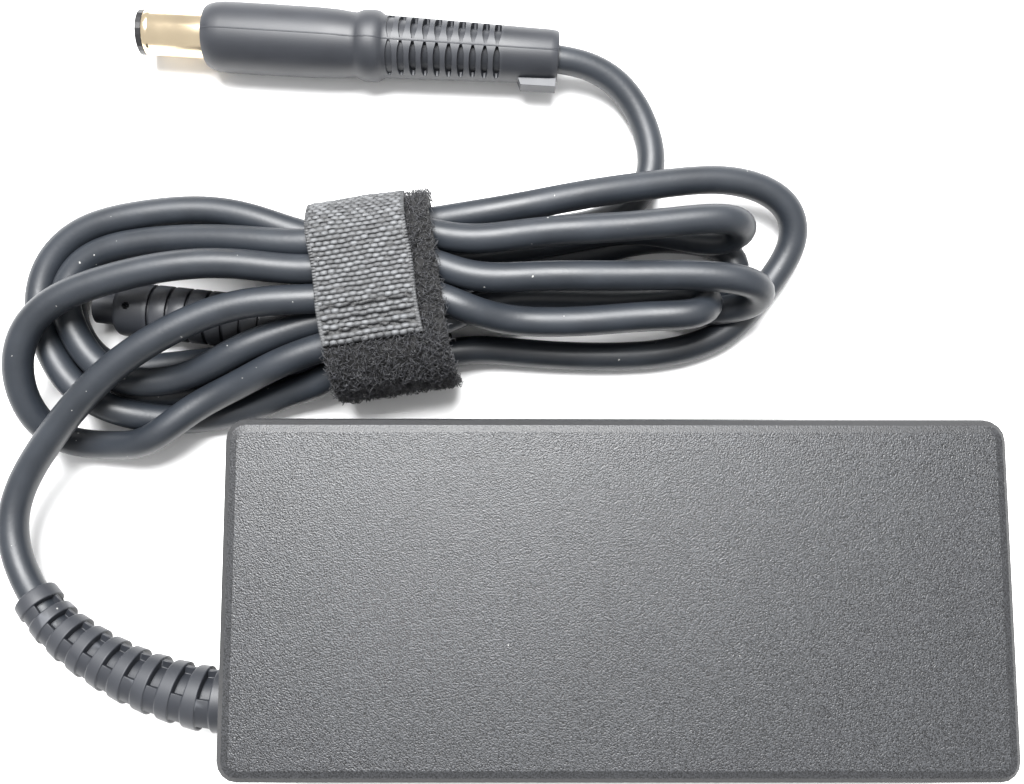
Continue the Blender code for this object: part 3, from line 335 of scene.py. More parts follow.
nodeFinishes = {
    "caseShell": ["top_shell", "bottom_shell"],
    "labelFilm": ["rating_label"],
    "inletPlastic": ["inlet_housing"],
    "pinMetal": ["live_pin", "neutral_pin", "earth_pin"],
    "boardLaminate": ["circuit_board"],
    "insulatingFilm": ["insulating_tray"],
    "spreaderAluminium": ["heat_spreader", "primary_heatsink", "output_heatsink"],
    "fuseGlass": ["fuse"],
    "componentEpoxy": ["thermistor", "bridge_rectifier", "power_transistor", "control_chip", "output_rectifier"],
    "filmCase": ["x_capacitor"],
    "ferriteCore": ["choke_core", "transformer_core_rear", "transformer_core_front", "output_inductor"],
    "windingCopper": ["choke_winding_live", "choke_winding_neutral"],
    "capacitorSleeve": ["bulk_capacitor", "output_capacitor_a", "output_capacitor_b"],
    "transformerTape": ["transformer_winding"],
    "ceramicDisc": ["y_capacitor"],
    "couplerPlastic": ["optocoupler"],
    "padSilicone": ["primary_thermal_pad", "output_thermal_pad"],
    "wireBrown": ["live_wire"], "wireBlue": ["neutral_wire"], "wireGreen": ["earth_wire"],
    "wireRed": ["positive_wire"], "wireBlack": ["return_wire"], "wireWhite": ["sense_wire"],
    "tipPlastic": ["plug_tip_ring"],
    "plugContact": ["plug_outer_barrel", "plug_inner_sleeve", "plug_centre_pin"],
    "contactMetal": ["converter_contact"],
    "mouldedVinyl": ["lead_boot", "plug_overmould", "converter_body"],
    "cordJacket": ["cable_lead", "cable_hank", "cable_tail"],
}
for finishName, nodeNames in nodeFinishes.items():
    for nodeName in nodeNames:
        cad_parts[nodeName].data.materials.clear()
        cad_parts[nodeName].data.materials.append(finishes[finishName])
print("finishes made:", len(finishes))


# finished piece from a bmesh: merged, turned the right way round, smooth up to its sharp edges
def newPiece(name, shape, finish, stands=(), sharp=38, merge=0.000004):
    bmesh.ops.remove_doubles(shape, verts=shape.verts, dist=merge)
    bmesh.ops.recalc_face_normals(shape, faces=shape.faces)
    for face in shape.faces:
        face.smooth = True
    for edge in shape.edges:
        if len(edge.link_faces) == 2 and edge.calc_face_angle(0) > math.radians(sharp):
            edge.smooth = False
    mesh = bpy.data.meshes.new(name)
    shape.to_mesh(mesh)
    shape.free()
    piece = bpy.data.objects.new(name, mesh)
    return joinUp(piece, finish, stands)


def joinUp(piece, finish, stands=()):
    piece.data.materials.clear()
    piece.data.materials.append(finish)
    if not piece.users_collection:
        sceneObjects.objects.link(piece)
    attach(piece, "root")
    if stands:
        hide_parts(*stands)
    return piece


# how far along a line each of its points lies
def wayAlong(points):
    return numpy.concatenate([[0], numpy.cumsum(numpy.linalg.norm(numpy.diff(points, axis=0), axis=1))])


# smooth line through points, with samples a step apart
def smoothLine(points, step):
    points = numpy.array(points, float)
    run = wayAlong(points)
    slopes = numpy.empty_like(points)
    slopes[1:-1] = (points[2:] - points[:-2]) / (run[2:] - run[:-2])[:, None]
    slopes[0] = (points[1] - points[0]) / (run[1] - run[0])
    slopes[-1] = (points[-1] - points[-2]) / (run[-1] - run[-2])
    fine = []
    share = numpy.arange(0, 1, 0.05)[:, None]
    for index in range(len(points) - 1):
        width = run[index + 1] - run[index]
        fine.append(
            (2 * share**3 - 3 * share**2 + 1) * points[index]
            + (share**3 - 2 * share**2 + share) * width * slopes[index]
            + (3 * share**2 - 2 * share**3) * points[index + 1]
            + (share**3 - share**2) * width * slopes[index + 1]
        )
    fine = numpy.concatenate([*fine, points[-1:]])
    run = wayAlong(fine)
    count = int(round(run[-1] / step)) + 1
    spots = numpy.linspace(0, run[-1], count)
    return numpy.stack([numpy.interp(spots, run, fine[:, axis]) for axis in range(3)], 1)


# the lead: one line from the boot through the hank to the plug, settled so that its turns lie beside each other
cordSetup = {
    "exit": (-53.5 * mm, -16.2 * mm, 14.75 * mm),
    "diameter": 4.6,
    "step": 2.0,
    "rounds": 380,
    "freeRounds": 50,
    "homePull": 0.03,
    "stiffness": 0.35,
    "foldRoom": ((1, 1.85), (2, 3.7), (3, 5.2), (4, 6.3), (5, 7.0)),
    "jacketFacets": 6,
    "watchEvery": 8,
    "watchWithin": 1.45,
    "clearance": 1.01,
    "pushShare": 0.6,
    "foldShare": 0.3,
    "freeStiffness": 0.15,
    "gap": 0.1,
    "heldEnds": 4,
}
# the converter tip in the hank's left loops, which the lead is laid round
converterShape = {
    "nose": (-81.5, 44.3, 4.4),
    "turn": -6,
    "length": 32.8,
    "neck": 3.8,
    "roomRadii": (2.8, 4.3),
    "radius": 4.4,
    "facets": 120,
    "grooves": 7,
    "grooveStart": 9.4,
    "groovePitch": 2.95,
    "grooveWidth": 0.55,
    "grooveDepth": 0.55,
    "holeAt": 6.2,
    "holeSide": -0.115,
    "holeRadius": 0.6,
    "holeDepth": 1.5,
}
# the way the lead lies, in millimetres, run by run from the boot to the plug
leadRuns = {
    "leadOut": [
        (-70, -13, 13.5), (-75, -11, 12.5), (-80, -8, 11.5), (-84, -5, 10.5), (-87, -1.5, 9.5), (-89.5, 2.5, 9),
        (-91.5, 7.5, 8.5), (-91, 13.5, 8.5), (-88.5, 18, 9.5), (-84.5, 23.5, 11), (-81, 27.5, 12),
        (-77.5, 31, 13), (-73, 34.5, 14), (-67, 38, 15), (-59.5, 41.5, 15), (-52, 43, 15.5), (-44, 43.5, 15),
        (-36, 44.5, 15), (-28, 46, 15),
    ],
    "firstRight": [
        (-24.5, 42.5, 14), (-13, 40.5, 13), (-1.5, 40.5, 13), (8.5, 41.5, 13), (14, 42, 12.5), (16.5, 43, 11.5),
        (17.5, 44, 10), (16.5, 45, 8.5), (14.5, 45.5, 7.5), (8, 45, 7.5), (-1.5, 45, 7.5), (-11.5, 45, 8),
        (-21, 43.5, 10), (-27, 40, 13), (-35, 38, 13.5), (-43, 36.5, 12.5),
    ],
    "firstLeft": [
        (-51, 34.5, 10), (-57.5, 31.5, 9), (-63.5, 28, 8), (-69.5, 24.5, 7), (-75, 22.5, 5), (-80.5, 22, 4),
        (-84.5, 22, 4), (-88, 23.5, 5), (-90, 27, 7.5), (-91, 31.5, 10), (-90.5, 36, 11.5), (-88, 40.5, 13),
        (-83, 44, 14), (-77, 46, 14.5), (-69.5, 48, 15), (-58, 49, 15), (-44.5, 48, 15), (-37, 49, 15),
        (-29, 50.5, 15),
    ],
    "secondRight": [
        (-24.5, 47, 15.5), (-9, 47, 15.5), (6, 47, 15.5), (16.5, 47, 15.5), (21, 46, 15), (24, 46, 13),
        (25, 45, 10.5), (25, 44.5, 8.5), (22.5, 43.5, 7), (19.5, 43.5, 6), (15, 44, 4), (8, 44.5, 2.5),
        (-3, 44.5, 2.5), (-13, 44, 3), (-21, 43.5, 5.5), (-27.5, 43, 10), (-35.5, 42, 10), (-43.5, 40.5, 10),
    ],
    "secondLeft": [
        (-53.5, 37, 9.5), (-59.5, 34, 8.5), (-65.5, 32.5, 7.5), (-71.5, 31.5, 7), (-76, 32, 7),
        (-79.5, 33.5, 7), (-82, 36.5, 7), (-84, 40, 7), (-85, 44, 7), (-85, 47.5, 7.5), (-83.5, 50, 8),
        (-81, 51.5, 9), (-77.5, 52.5, 9.5), (-71.5, 53.5, 10), (-59, 53.5, 12), (-45.5, 52, 14),
        (-37.5, 53.5, 14), (-29.5, 54.5, 14),
    ],
    "thirdRight": [
        (-25, 52.5, 15), (-9, 54, 15), (6.5, 55, 15), (14, 56, 14.5), (18.5, 56, 14), (21, 56, 12.5),
        (22.5, 56, 10.5), (22.5, 55, 8.5), (20, 54.5, 7.5), (15.5, 55, 7), (5.5, 56.5, 7), (-1.5, 55.5, 7),
        (-9, 54, 7), (-17.5, 52.5, 8), (-24, 51, 9), (-29, 52, 10), (-37, 50.5, 10), (-45, 49.5, 10),
    ],
    "thirdLeft": [
        (-55.5, 53.5, 6.5), (-65.5, 54.5, 4), (-74, 54.5, 2.5), (-80.5, 53, 2.5), (-84, 51, 2.5),
        (-86.5, 47.5, 2.5), (-87, 42.5, 2.5), (-85, 38, 2.5), (-82, 34.5, 2.5), (-78, 33, 2.5),
        (-72.5, 32.5, 2.5), (-67, 33, 2.5), (-61, 35, 3), (-55, 37.5, 4), (-43.5, 40.5, 5.5), (-36, 44, 5.5),
        (-28.5, 47.5, 5.5),
    ],
    "fourthRight": [
        (-24, 49.5, 5), (-16, 51, 3), (-7, 52.5, 2.5), (1.5, 54.5, 2.5), (8, 56, 2.5), (13, 56, 2.5),
        (17.5, 55, 2.5), (21.5, 53, 2.5), (23.5, 51, 3), (23, 49, 3), (20, 48, 2.5), (15.5, 48, 2.5),
        (7, 49, 2.5), (-3, 49, 2.5), (-13, 48.5, 2.5), (-21, 46, 3), (-24.5, 44, 4.5), (-27.5, 40.5, 5.5),
        (-35, 37, 9.5), (-42.5, 33, 8),
    ],
    "fourthLeft": [
        (-50, 30.5, 5), (-56.5, 29, 3), (-64, 28, 2.5), (-69, 27.5, 3), (-72.5, 27, 4.5), (-76, 27, 5.5),
        (-79, 28, 6), (-82, 29.5, 7), (-85, 32, 7), (-87, 36, 7), (-88.5, 40, 7), (-89.5, 44, 7),
        (-89.5, 47.5, 7), (-87.5, 51.5, 7.5), (-84.5, 54.5, 8), (-81, 56.5, 8.5), (-76, 57.5, 9),
        (-70.5, 58.5, 9), (-64, 59, 9), (-55, 57.5, 9.5), (-45.5, 54, 9.5), (-37.5, 55, 9.5), (-30, 56.5, 9.5),
    ],
    "fifthRight": [
        (-25.5, 57, 10.5), (-13, 59, 11), (-1, 61.5, 10.5), (11, 63.5, 9), (19.5, 64.5, 8), (25.5, 63.5, 7),
        (30, 61.5, 6), (32.5, 58, 5), (32, 54.5, 3.5), (30, 51.5, 2.5), (28, 48.5, 2.5), (26, 45.5, 2.5),
        (23, 42.5, 2.5), (19, 39.5, 2.5), (13.5, 37.5, 2.5), (5.5, 36.5, 2.5), (-4.5, 36.5, 2.5),
        (-14.5, 37, 3), (-23.5, 37.5, 4), (-26.5, 36, 5), (-34.5, 36.5, 4.5), (-42.5, 35.5, 4.5),
    ],
    "fifthLeft": [
        (-50.5, 35.5, 3.5), (-57, 33, 2.5), (-63.5, 30.5, 2.5), (-70, 29.5, 2.5), (-76.5, 30, 2.5),
        (-82, 31.5, 2.5), (-86, 35, 2.5), (-89.5, 40, 2.5), (-90.5, 45, 2.5), (-90, 49.5, 2.5),
        (-87.5, 53.5, 2.5), (-83.5, 56, 2.5), (-77.5, 57.5, 2.5), (-71, 58.5, 3), (-62.5, 58, 3.5),
        (-54, 57, 4), (-45, 50, 4.5), (-37, 51, 4.5), (-29, 52.5, 4.5),
    ],
    "tailOut": [
        (-24.5, 54.5, 3.5), (-16, 56, 2.5), (-8, 57.5, 2.5), (-1, 58.5, 2.5), (3.5, 60.5, 2.5), (6.5, 63, 2.5),
        (9, 66, 2.5), (9, 71, 2.5), (7, 77.5, 3), (2.5, 83, 4.5), (-3, 85, 5.5), (-6.5, 85.5, 6), (-9.5, 86, 6),
    ],
}


def settleLead(points, setup, converter):
    width = setup["diameter"]
    spots = smoothLine(points, setup["step"])
    home = spots.copy()
    count = len(spots)
    order = numpy.arange(count)
    apart = round(2.2 * width / setup["step"])
    held = (order < setup["heldEnds"]) | (order >= count - setup["heldEnds"])
    touch = width * setup["clearance"]
    pull = (setup["homePull"], setup["homePull"], setup["homePull"] * 0.7)  # weaker upwards, so that turns can stack
    turn = math.radians(converter["turn"])
    axis = numpy.array([math.cos(turn), math.sin(turn), 0])
    for turnNumber in range(setup["rounds"] + setup["freeRounds"]):
        free = turnNumber >= setup["rounds"]
        if turnNumber % setup["watchEvery"] == 0:  # which stretches may touch is looked up now and then
            gaps = ((spots[:, None] - spots[None]) ** 2).sum(2)
            near = (gaps < (setup["watchWithin"] * width) ** 2) & (order[None] - order[:, None] > apart)
            first, second = numpy.nonzero(near)
        between = spots[first] - spots[second]
        distance = numpy.linalg.norm(between, axis=1)[:, None]
        push = numpy.maximum(touch - distance, 0) * between / numpy.maximum(distance, 1e-6) * 0.5
        total = numpy.zeros_like(spots)
        hits = numpy.zeros(count)
        touching = (distance[:, 0] < touch).astype(float)
        numpy.add.at(total, first, push)
        numpy.add.at(total, second, -push)
        numpy.add.at(hits, first, touching)
        numpy.add.at(hits, second, touching)
        spots = spots + total / numpy.sqrt(numpy.maximum(hits, 1))[:, None] * setup["pushShare"]
        offset = spots - converter["nose"]
        along = numpy.clip(offset @ axis, 0, converter["length"])
        away = offset - along[:, None] * axis
        room = numpy.where(along < converter["neck"], *converter["roomRadii"]) + width / 2 + setup["gap"]
        reach = numpy.linalg.norm(away, axis=1)
        lift = numpy.maximum(room - reach, 0) * setup["pushShare"]
        spots += away / numpy.maximum(reach, 1e-6)[:, None] * lift[:, None]
        if not free:
            spots += (home - spots) * pull
        bend = numpy.zeros_like(spots)
        bend[1:-1] = (spots[:-2] + spots[2:]) / 2 - spots[1:-1]
        ease = numpy.zeros_like(spots)
        ease[2:-2] = bend[2:-2] - (bend[1:-3] + bend[3:-1]) / 2
        spots = spots + ease * (setup["freeStiffness"] if free else setup["stiffness"])
        for hop, least in setup["foldRoom"]:  # spots this many steps apart keep this distance, so no fold is a kink
            chord = spots[hop:] - spots[:-hop]
            span = numpy.linalg.norm(chord, axis=1)[:, None]
            spring = numpy.maximum(least - span, 0) * chord / span * setup["foldShare"]
            spots[hop:] += spring
            spots[:-hop] -= spring
        spots[:, 2] = numpy.maximum(spots[:, 2], width / 2 + 0.02)
        spots[held] = home[held]
    return spots


leadLine = settleLead([point for run in leadRuns.values() for point in run], cordSetup, converterShape)


def curvePiece(name, lines, radius, kind="NURBS", facets=4, detail=2):
    curve = bpy.data.curves.new(name, "CURVE")
    curve.dimensions = "3D"
    curve.bevel_depth = radius
    curve.bevel_resolution = facets
    curve.use_fill_caps = True
    curve.resolution_u = detail
    for line in lines:
        spline = curve.splines.new(kind)
        spline.points.add(len(line) - 1)
        spline.points.foreach_set("co", [part for point in line for part in (*point, 1)])
        if kind == "NURBS":
            spline.order_u = 4
            spline.use_endpoint_u = True
        spline.use_smooth = True
    return bpy.data.objects.new(name, curve)


leadPiece = curvePiece(
    "output_lead", [leadLine * mm], cordSetup["diameter"] / 2 * mm, facets=cordSetup["jacketFacets"]
)
joinUp(leadPiece, finishes["cordJacket"], ("cable_lead", "cable_hank", "cable_tail"))
print("lead laid")


# profile points (way along X, radius) spun about X
def spinProfile(shape, profile, facets):
    verts = [shape.verts.new((way * mm, 0, radius * mm)) for way, radius in profile]
    edges = [shape.edges.new(pair) for pair in zip(verts, verts[1:])]
    bmesh.ops.spin(
        shape, geom=verts + edges, cent=(0, 0, 0), axis=(1, 0, 0), angle=math.tau, steps=facets, use_merge=True,
        use_duplicate=False,
    )
    bmesh.ops.remove_doubles(shape, verts=shape.verts, dist=0.000003)


# faces whose middle lies between two ways along X and within a band of angles about it
def facesIn(shape, low, high, middle, half):
    chosen = []
    for face in shape.faces:
        spot = face.calc_center_median()
        if low * mm < spot.x < high * mm and Vector(spot.yz).length > 0.0012:
            angle = math.degrees(math.atan2(spot.y, spot.z))
            if abs((angle - middle + 180) % 360 - 180) < half:
                chosen.append(face)
    return chosen


# a window pressed into the surface towards the X axis
def sinkWindow(shape, faces, depth):
    if not faces:
        return
    made = bmesh.ops.extrude_face_region(shape, geom=faces)
    bmesh.ops.delete(shape, geom=faces, context="FACES")
    for vert in {item for item in made["geom"] if isinstance(item, bmesh.types.BMVert)}:
        reach = Vector(vert.co.yz).length
        share = (reach - depth * mm) / reach
        vert.co.y *= share
        vert.co.z *= share


# a straight piece along X bent along a line of points, its Z side kept upwards
def bendAlong(shape, line):
    run = wayAlong(line)
    tangents = numpy.gradient(line, axis=0)
    for vert in shape.verts:
        way = min(max(vert.co.x, 0), float(run[-1]))
        middle = Vector([numpy.interp(way, run, line[:, axis]) for axis in range(3)])
        heading = Vector([numpy.interp(way, run, tangents[:, axis]) for axis in range(3)]).normalized()
        side = Vector((0, 0, 1)).cross(heading).normalized()
        top = heading.cross(side)
        vert.co = middle + heading * (vert.co.x - way) + side * vert.co.y + top * vert.co.z


def addBevel(piece, width, angle=35, segments=2):
    bevel = piece.modifiers.new("softEdges", "BEVEL")
    bevel.width = width * mm
    bevel.segments = segments
    bevel.limit_method = "ANGLE"
    bevel.angle_limit = math.radians(angle)


# strain relief on the case
boot = {
    "line": [(-53.6, -16.2, 14.75), (-58.6, -15.9, 14.7), (-64.5, -14.6, 14.2), (-70.0, -12.9, 13.4),
             (-74.8, -10.8, 12.5), (-79.7, -8.1, 11.5), (-83.7, -5.2, 10.5), (-87.0, -1.7, 9.6)],
    "facets": 40,
    "collar": (5.1, 1.3),
    "wallRadius": 4.65,
    "endRadius": 3.12,
    "start": 3.6,
    "windows": 9,
    "endRing": 2.4,
    "bandShare": 0.56,
    "bandRise": 0.16,
    "windowDepth": 1.1,
    "rows": ((-40, 35), (-109, 25), (142, 35), (78, 25)),
    "softEdge": 0.11,
}


def makeBoot():
    line = smoothLine(boot["line"], 0.4) * mm
    total = float(wayAlong(line)[-1]) / mm

    def radiusAt(way):
        return boot["wallRadius"] + (boot["endRadius"] - boot["wallRadius"]) * way / total

    collarRadius, collarEnd = boot["collar"]
    profile = [(0, 0), (0, collarRadius - 0.25), (0.12, collarRadius), (collarEnd - 0.2, collarRadius)]
    profile += [(collarEnd, collarRadius - 0.25), (collarEnd + 0.05, radiusAt(collarEnd))]
    windows = []
    pitch = (total - boot["start"] - boot["endRing"]) / (boot["windows"] - boot["bandShare"])
    for number in range(boot["windows"]):
        low = boot["start"] + number * pitch
        high = low + pitch * (1 - boot["bandShare"])
        windows.append((low, high))
        risen = radiusAt(low) + boot["bandRise"]
        profile += [(low - 0.12, risen), (low, radiusAt(low)), (high, radiusAt(high)), (high + 0.12, risen)]
    last = radiusAt(total) + boot["bandRise"]
    profile += [(total - 0.5, last + 0.1), (total - 0.12, last), (total - 0.02, last - 0.25)]
    profile += [(total, 2.55), (total - 1.6, 2.4), (total - 1.6, 0)]
    shape = bmesh.new()
    spinProfile(shape, profile, boot["facets"])
    for low, high in windows:
        for middle, half in boot["rows"]:
            sinkWindow(shape, facesIn(shape, low, high, middle, half), boot["windowDepth"])
    bendAlong(shape, line)
    piece = newPiece("ribbed_boot", shape, finishes["mouldedVinyl"], ("lead_boot",), sharp=30)
    addBevel(piece, boot["softEdge"])
    print("boot moulded with", len(windows), "rings of windows")


makeBoot()

# barrel plug: grip, ring, slotted sleeve and the wedge at its end
plug = {
    "tip": (-75.5, 90.1, 5.75),
    "turn": -3.4,
    "facets": 64,
    "gripStart": 10.8,
    "gripRadius": 5.65,
    "ring": (36.0, 40.2, 5.72),
    "sleeveRadius": 5.0,
    "sleeveTaper": 0.5,
    "slotStart": 40.9,
    "slotPitch": 1.95,
    "slotWidth": 1.15,
    "slotCount": 10,
    "slotDepth": 1.0,
    "firstSlots": (0.35, 0.6, 1),
    "slotSharpness": 2.6,
    "slotRows": ((31, 34), (-49, 36), (131, 36), (211, 34)),
    "partingAngles": (351, 171),
    "partingHalf": 1.1,
    "partingRise": 0.07,
    "softEdge": 0.10,
    "end": 69.1,
    "wedgeSize": (6.9, 2.6, 2.8),
    "wedgeAt": (3.65, -4.2, -0.4),
    "wedgeSlant": 1.1,
}


def cutAcross(shape, spot, normal):
    everything = shape.verts[:] + shape.edges[:] + shape.faces[:]
    bmesh.ops.bisect_plane(shape, geom=everything, dist=1e-7, plane_co=spot, plane_no=normal)


def placeAlong(shape, start, turn):
    place = Matrix.Translation(Vector(start) * mm) @ Matrix.Rotation(math.radians(turn), 4, "Z")
    bmesh.ops.transform(shape, matrix=place, verts=shape.verts)


def makePlug():
    start, thick = plug["gripStart"], plug["gripRadius"]
    ringStart, ringEnd, ringRadius = plug["ring"]
    end = plug["end"]
    profile = [
        (start + 5.7, 0), (start + 5.7, 2.0), (start + 0.3, 3.72), (start, 3.85), (start, 4.3),
        (start + 0.25, 4.85), (start + 0.8, 5.2), (start + 1.9, 5.5), (start + 3.4, thick),
        (start + 12, thick), (start + 19, thick - 0.06), (ringStart - 3, thick - 0.2),
        (ringStart - 1.2, thick - 0.42), (ringStart - 0.3, thick - 0.48), (ringStart + 0.2, thick - 0.3),
        (ringStart + 0.9, ringRadius - 0.08), (ringStart + 1.8, ringRadius), (ringEnd - 1.6, ringRadius),
        (ringEnd - 0.7, ringRadius - 0.12), (ringEnd - 0.1, 5.2), (ringEnd + 0.3, 5.0),
    ]
    slots = []
    last = plug["slotStart"] + plug["slotCount"] * plug["slotPitch"]

    def widthAt(way):
        return plug["sleeveRadius"] - plug["sleeveTaper"] * (way - ringEnd) / (last - ringEnd)

    for number in range(plug["slotCount"]):
        low = plug["slotStart"] + number * plug["slotPitch"]
        slots.append((low, low + plug["slotWidth"]))
        profile += [(low, widthAt(low)), (low + plug["slotWidth"], widthAt(low + plug["slotWidth"]))]
    profile += [(last, widthAt(last)), (end - 6, 4.42), (end - 1.4, 4.3), (end - 0.4, 4.18), (end - 0.05, 3.9)]
    profile += [(end, 3.4), (end - 0.05, 2.5), (end - 1.7, 2.4), (end - 1.7, 0)]
    shape = bmesh.new()
    spinProfile(shape, profile, plug["facets"])
    for vert in shape.verts:  # slots narrow towards their ends
        for low, high in slots:
            if abs(vert.co.x - low * mm) < 1e-6 or abs(vert.co.x - high * mm) < 1e-6:
                angle = math.degrees(math.atan2(vert.co.y, vert.co.z))
                off = [abs((angle - middle + 180) % 360 - 180) / half for middle, half in plug["slotRows"]]
                middleWay = (low + high) / 2 * mm
                narrowed = math.sqrt(max(0.10, 1 - min(1, min(off)) ** plug["slotSharpness"]))
                vert.co.x = middleWay + (vert.co.x - middleWay) * narrowed
                break
    for number, (low, high) in enumerate(slots):
        depth = plug["slotDepth"] * plug["firstSlots"][min(number, 2)]
        for middle, half in plug["slotRows"]:
            sinkWindow(shape, facesIn(shape, low - 0.01, high + 0.01, middle, half), depth)
    # the mould's parting line, a fine raised line above and below
    for angle in (plug["partingAngles"][0] + step * plug["partingHalf"] for step in (-1, 0, 1)):
        across = Vector((0, math.cos(math.radians(angle)), -math.sin(math.radians(angle))))
        cutAcross(shape, (0, 0, 0), across)
    for vert in shape.verts:
        reach = Vector(vert.co.yz).length
        angle = math.degrees(math.atan2(vert.co.y, vert.co.z)) % 360
        if reach > 4 * mm and min(abs(angle - part) for part in plug["partingAngles"]) < 0.3:
            vert.co.y *= 1 + plug["partingRise"] * mm / reach
            vert.co.z *= 1 + plug["partingRise"] * mm / reach
    wedge = bmesh.ops.create_cube(shape, size=1)["verts"]
    back, side, rise = plug["wedgeAt"]
    bmesh.ops.scale(shape, vec=[part * mm for part in plug["wedgeSize"]], verts=wedge)
    bmesh.ops.translate(shape, vec=((end - back) * mm, side * mm, rise * mm), verts=wedge)
    for vert in wedge:  # its front corner slants back
        if vert.co.x < (end - 4) * mm and vert.co.y < side * mm:
            vert.co.x += plug["wedgeSlant"] * mm
    placeAlong(shape, plug["tip"], plug["turn"])
    piece = newPiece("slotted_plug", shape, finishes["mouldedVinyl"], ("plug_overmould",), sharp=32)
    addBevel(piece, plug["softEdge"])
    print("plug moulded with", 4 * len(slots), "slots")
    return piece


plugPiece = makePlug()

# the plug's outer contact, a plated tube that runs back into the grip
barrel = {"front": 0.92, "outer": 3.7, "inner": 3.3, "back": 16.0, "lip": 0.12, "facets": 72}


def makeBarrel():
    front, outer, inner, back, lip = (barrel[part] for part in ("front", "outer", "inner", "back", "lip"))
    profile = [(front, inner), (front, outer - lip), (front + 0.04, outer - 0.04), (front + lip, outer)]
    profile += [(front + 0.9, outer), (front + 1.0, outer - 0.03), (front + 1.1, outer)]
    profile += [(back, outer), (back, inner), (front, inner)]
    shape = bmesh.new()
    spinProfile(shape, profile, barrel["facets"])
    placeAlong(shape, plug["tip"], plug["turn"])
    return newPiece("plug_barrel", shape, finishes["plugContact"], ("plug_outer_barrel",), sharp=40)


barrelPiece = makeBarrel()


# converter tip
def makeConverter():
    profile = [(2.6, 0), (2.6, 1.75), (0.25, 1.75), (0.02, 1.95), (0, 2.45), (0.2, 2.75), (3.5, 2.8), (3.72, 2.85),
               (3.8, 3.4), (3.95, 3.9), (4.35, 4.25), (4.9, 4.4), (8.6, 4.4)]
    thick = converterShape["radius"]
    floor = thick - converterShape["grooveDepth"]
    for number in range(converterShape["grooves"]):
        low = converterShape["grooveStart"] + number * converterShape["groovePitch"]
        high = low + converterShape["grooveWidth"]
        profile += [(low - 0.1, thick), (low, thick - 0.05), (low + 0.06, floor)]
        profile += [(high - 0.06, floor), (high, thick - 0.05), (high + 0.1, thick)]
    profile += [(29.6, 4.4), (31.2, 4.2), (32.2, 3.8), (32.65, 3.2), (32.8, 2.4), (32.8, 0)]
    shape = bmesh.new()
    spinProfile(shape, profile, converterShape["facets"])
    way, radius = converterShape["holeAt"], converterShape["holeRadius"]
    for step in (-1, -0.6, -0.2, 0.2, 0.6, 1):  # cuts that give the hole its rim
        cutAcross(shape, ((way + step * 0.96 * radius) * mm, 0, 0), (1, 0, 0))
    middle = Vector((way, converterShape["holeSide"], converterShape["radius"])) * mm
    rim = [face for face in shape.faces if (face.calc_center_median() - middle).length < radius * mm]
    sinkWindow(shape, rim, converterShape["holeDepth"])
    placeAlong(shape, converterShape["nose"], converterShape["turn"])
    newPiece("ribbed_converter", shape, finishes["mouldedVinyl"], ("converter_body",), sharp=30)
    print("converter tip moulded")


makeConverter()

# hook-and-loop strap round the hank: a pile tape all the way round and a woven hook tape over it
strap = {
    "centre": (-36.0, 44.5),
    "turn": 9,
    "waistWidth": 26.2,
    "low": 2.2,
    "high": 17.4,
    "corner": 6.0,
    "loopWidth": 18.5,
    "loopShift": 1.8,
    "loopRise": 0.9,
    "loopThickness": 1.2,
    "hookWidth": 15.0,
    "hookRise": 2.2,
    "hookThickness": 0.55,
    "frontEnd": -8.0,
    "backEnd": 6.0,
    "threadAcross": 1.15,
    "threadAlong": 0.74,
    "threadHeight": 0.27,
    "stitchRows": (-2.6, -4.4, -6.2),
    "stitchHalf": 0.40,
    "stitchDepth": 0.42,
    "selvedge": 0.55,
    "endDroop": 0.35,
    "slip": 0.25,
    "vertsPerThread": 5,
    "pileCount": 3000,
    "pileRadius": 0.043,
    "pileSeed": 11,
    "pileStop": 14,
    "pileSpan": (0.6, 2.0),
    "pileHeight": (0.35, 1.35),
    "pileLean": 0.4,
    "weaveSeed": 5,
}


# spot and outward direction on the strap's way round, counted from the middle of the top towards the back
def strapSpot(way, rise):
    width = strap["waistWidth"] + 2 * rise
    low, high = strap["low"] - rise, strap["high"] + rise
    corner = strap["corner"] + rise
    runs = [
        ("flat", width / 2 - corner, (0, high), (1, 0), (0, 1)),
        ("turn", math.pi / 2 * corner, (width / 2 - corner, high - corner), 90),
        ("flat", high - low - 2 * corner, (width / 2, high - corner), (0, -1), (1, 0)),
        ("turn", math.pi / 2 * corner, (width / 2 - corner, low + corner), 0),
        ("flat", width - 2 * corner, (width / 2 - corner, low), (-1, 0), (0, -1)),
        ("turn", math.pi / 2 * corner, (corner - width / 2, low + corner), -90),
        ("flat", high - low - 2 * corner, (-width / 2, low + corner), (0, 1), (-1, 0)),
        ("turn", math.pi / 2 * corner, (corner - width / 2, high - corner), 180),
        ("flat", width / 2 - corner, (corner - width / 2, high), (1, 0), (0, 1)),
    ]
    way %= sum(run[1] for run in runs)
    for kind, length, start, *rest in runs:
        if way <= length + 1e-9:
            break
        way -= length
    if kind == "flat":
        heading, normal = rest
        return start[0] + heading[0] * way, start[1] + heading[1] * way, *normal
    angle = math.radians(rest[0]) - way / corner
    normal = (math.cos(angle), math.sin(angle))
    return start[0] + normal[0] * corner, start[1] + normal[1] * corner, *normal


def strapLength(rise):
    corner = strap["corner"] + rise
    width = strap["waistWidth"] + 2 * rise
    height = strap["high"] - strap["low"] + 2 * rise
    return 2 * (width + height - 4 * corner) + math.tau * corner


strapTurn = Matrix.Rotation(math.radians(strap["turn"]), 3, "Z")


def strapPoint(across, way, rise, lift=0.0):
    y, z, outY, outZ = strapSpot(way, rise)
    local = Vector((across, y + outY * lift, z + outZ * lift))
    return (strapTurn @ local + Vector((*strap["centre"], 0))) * mm
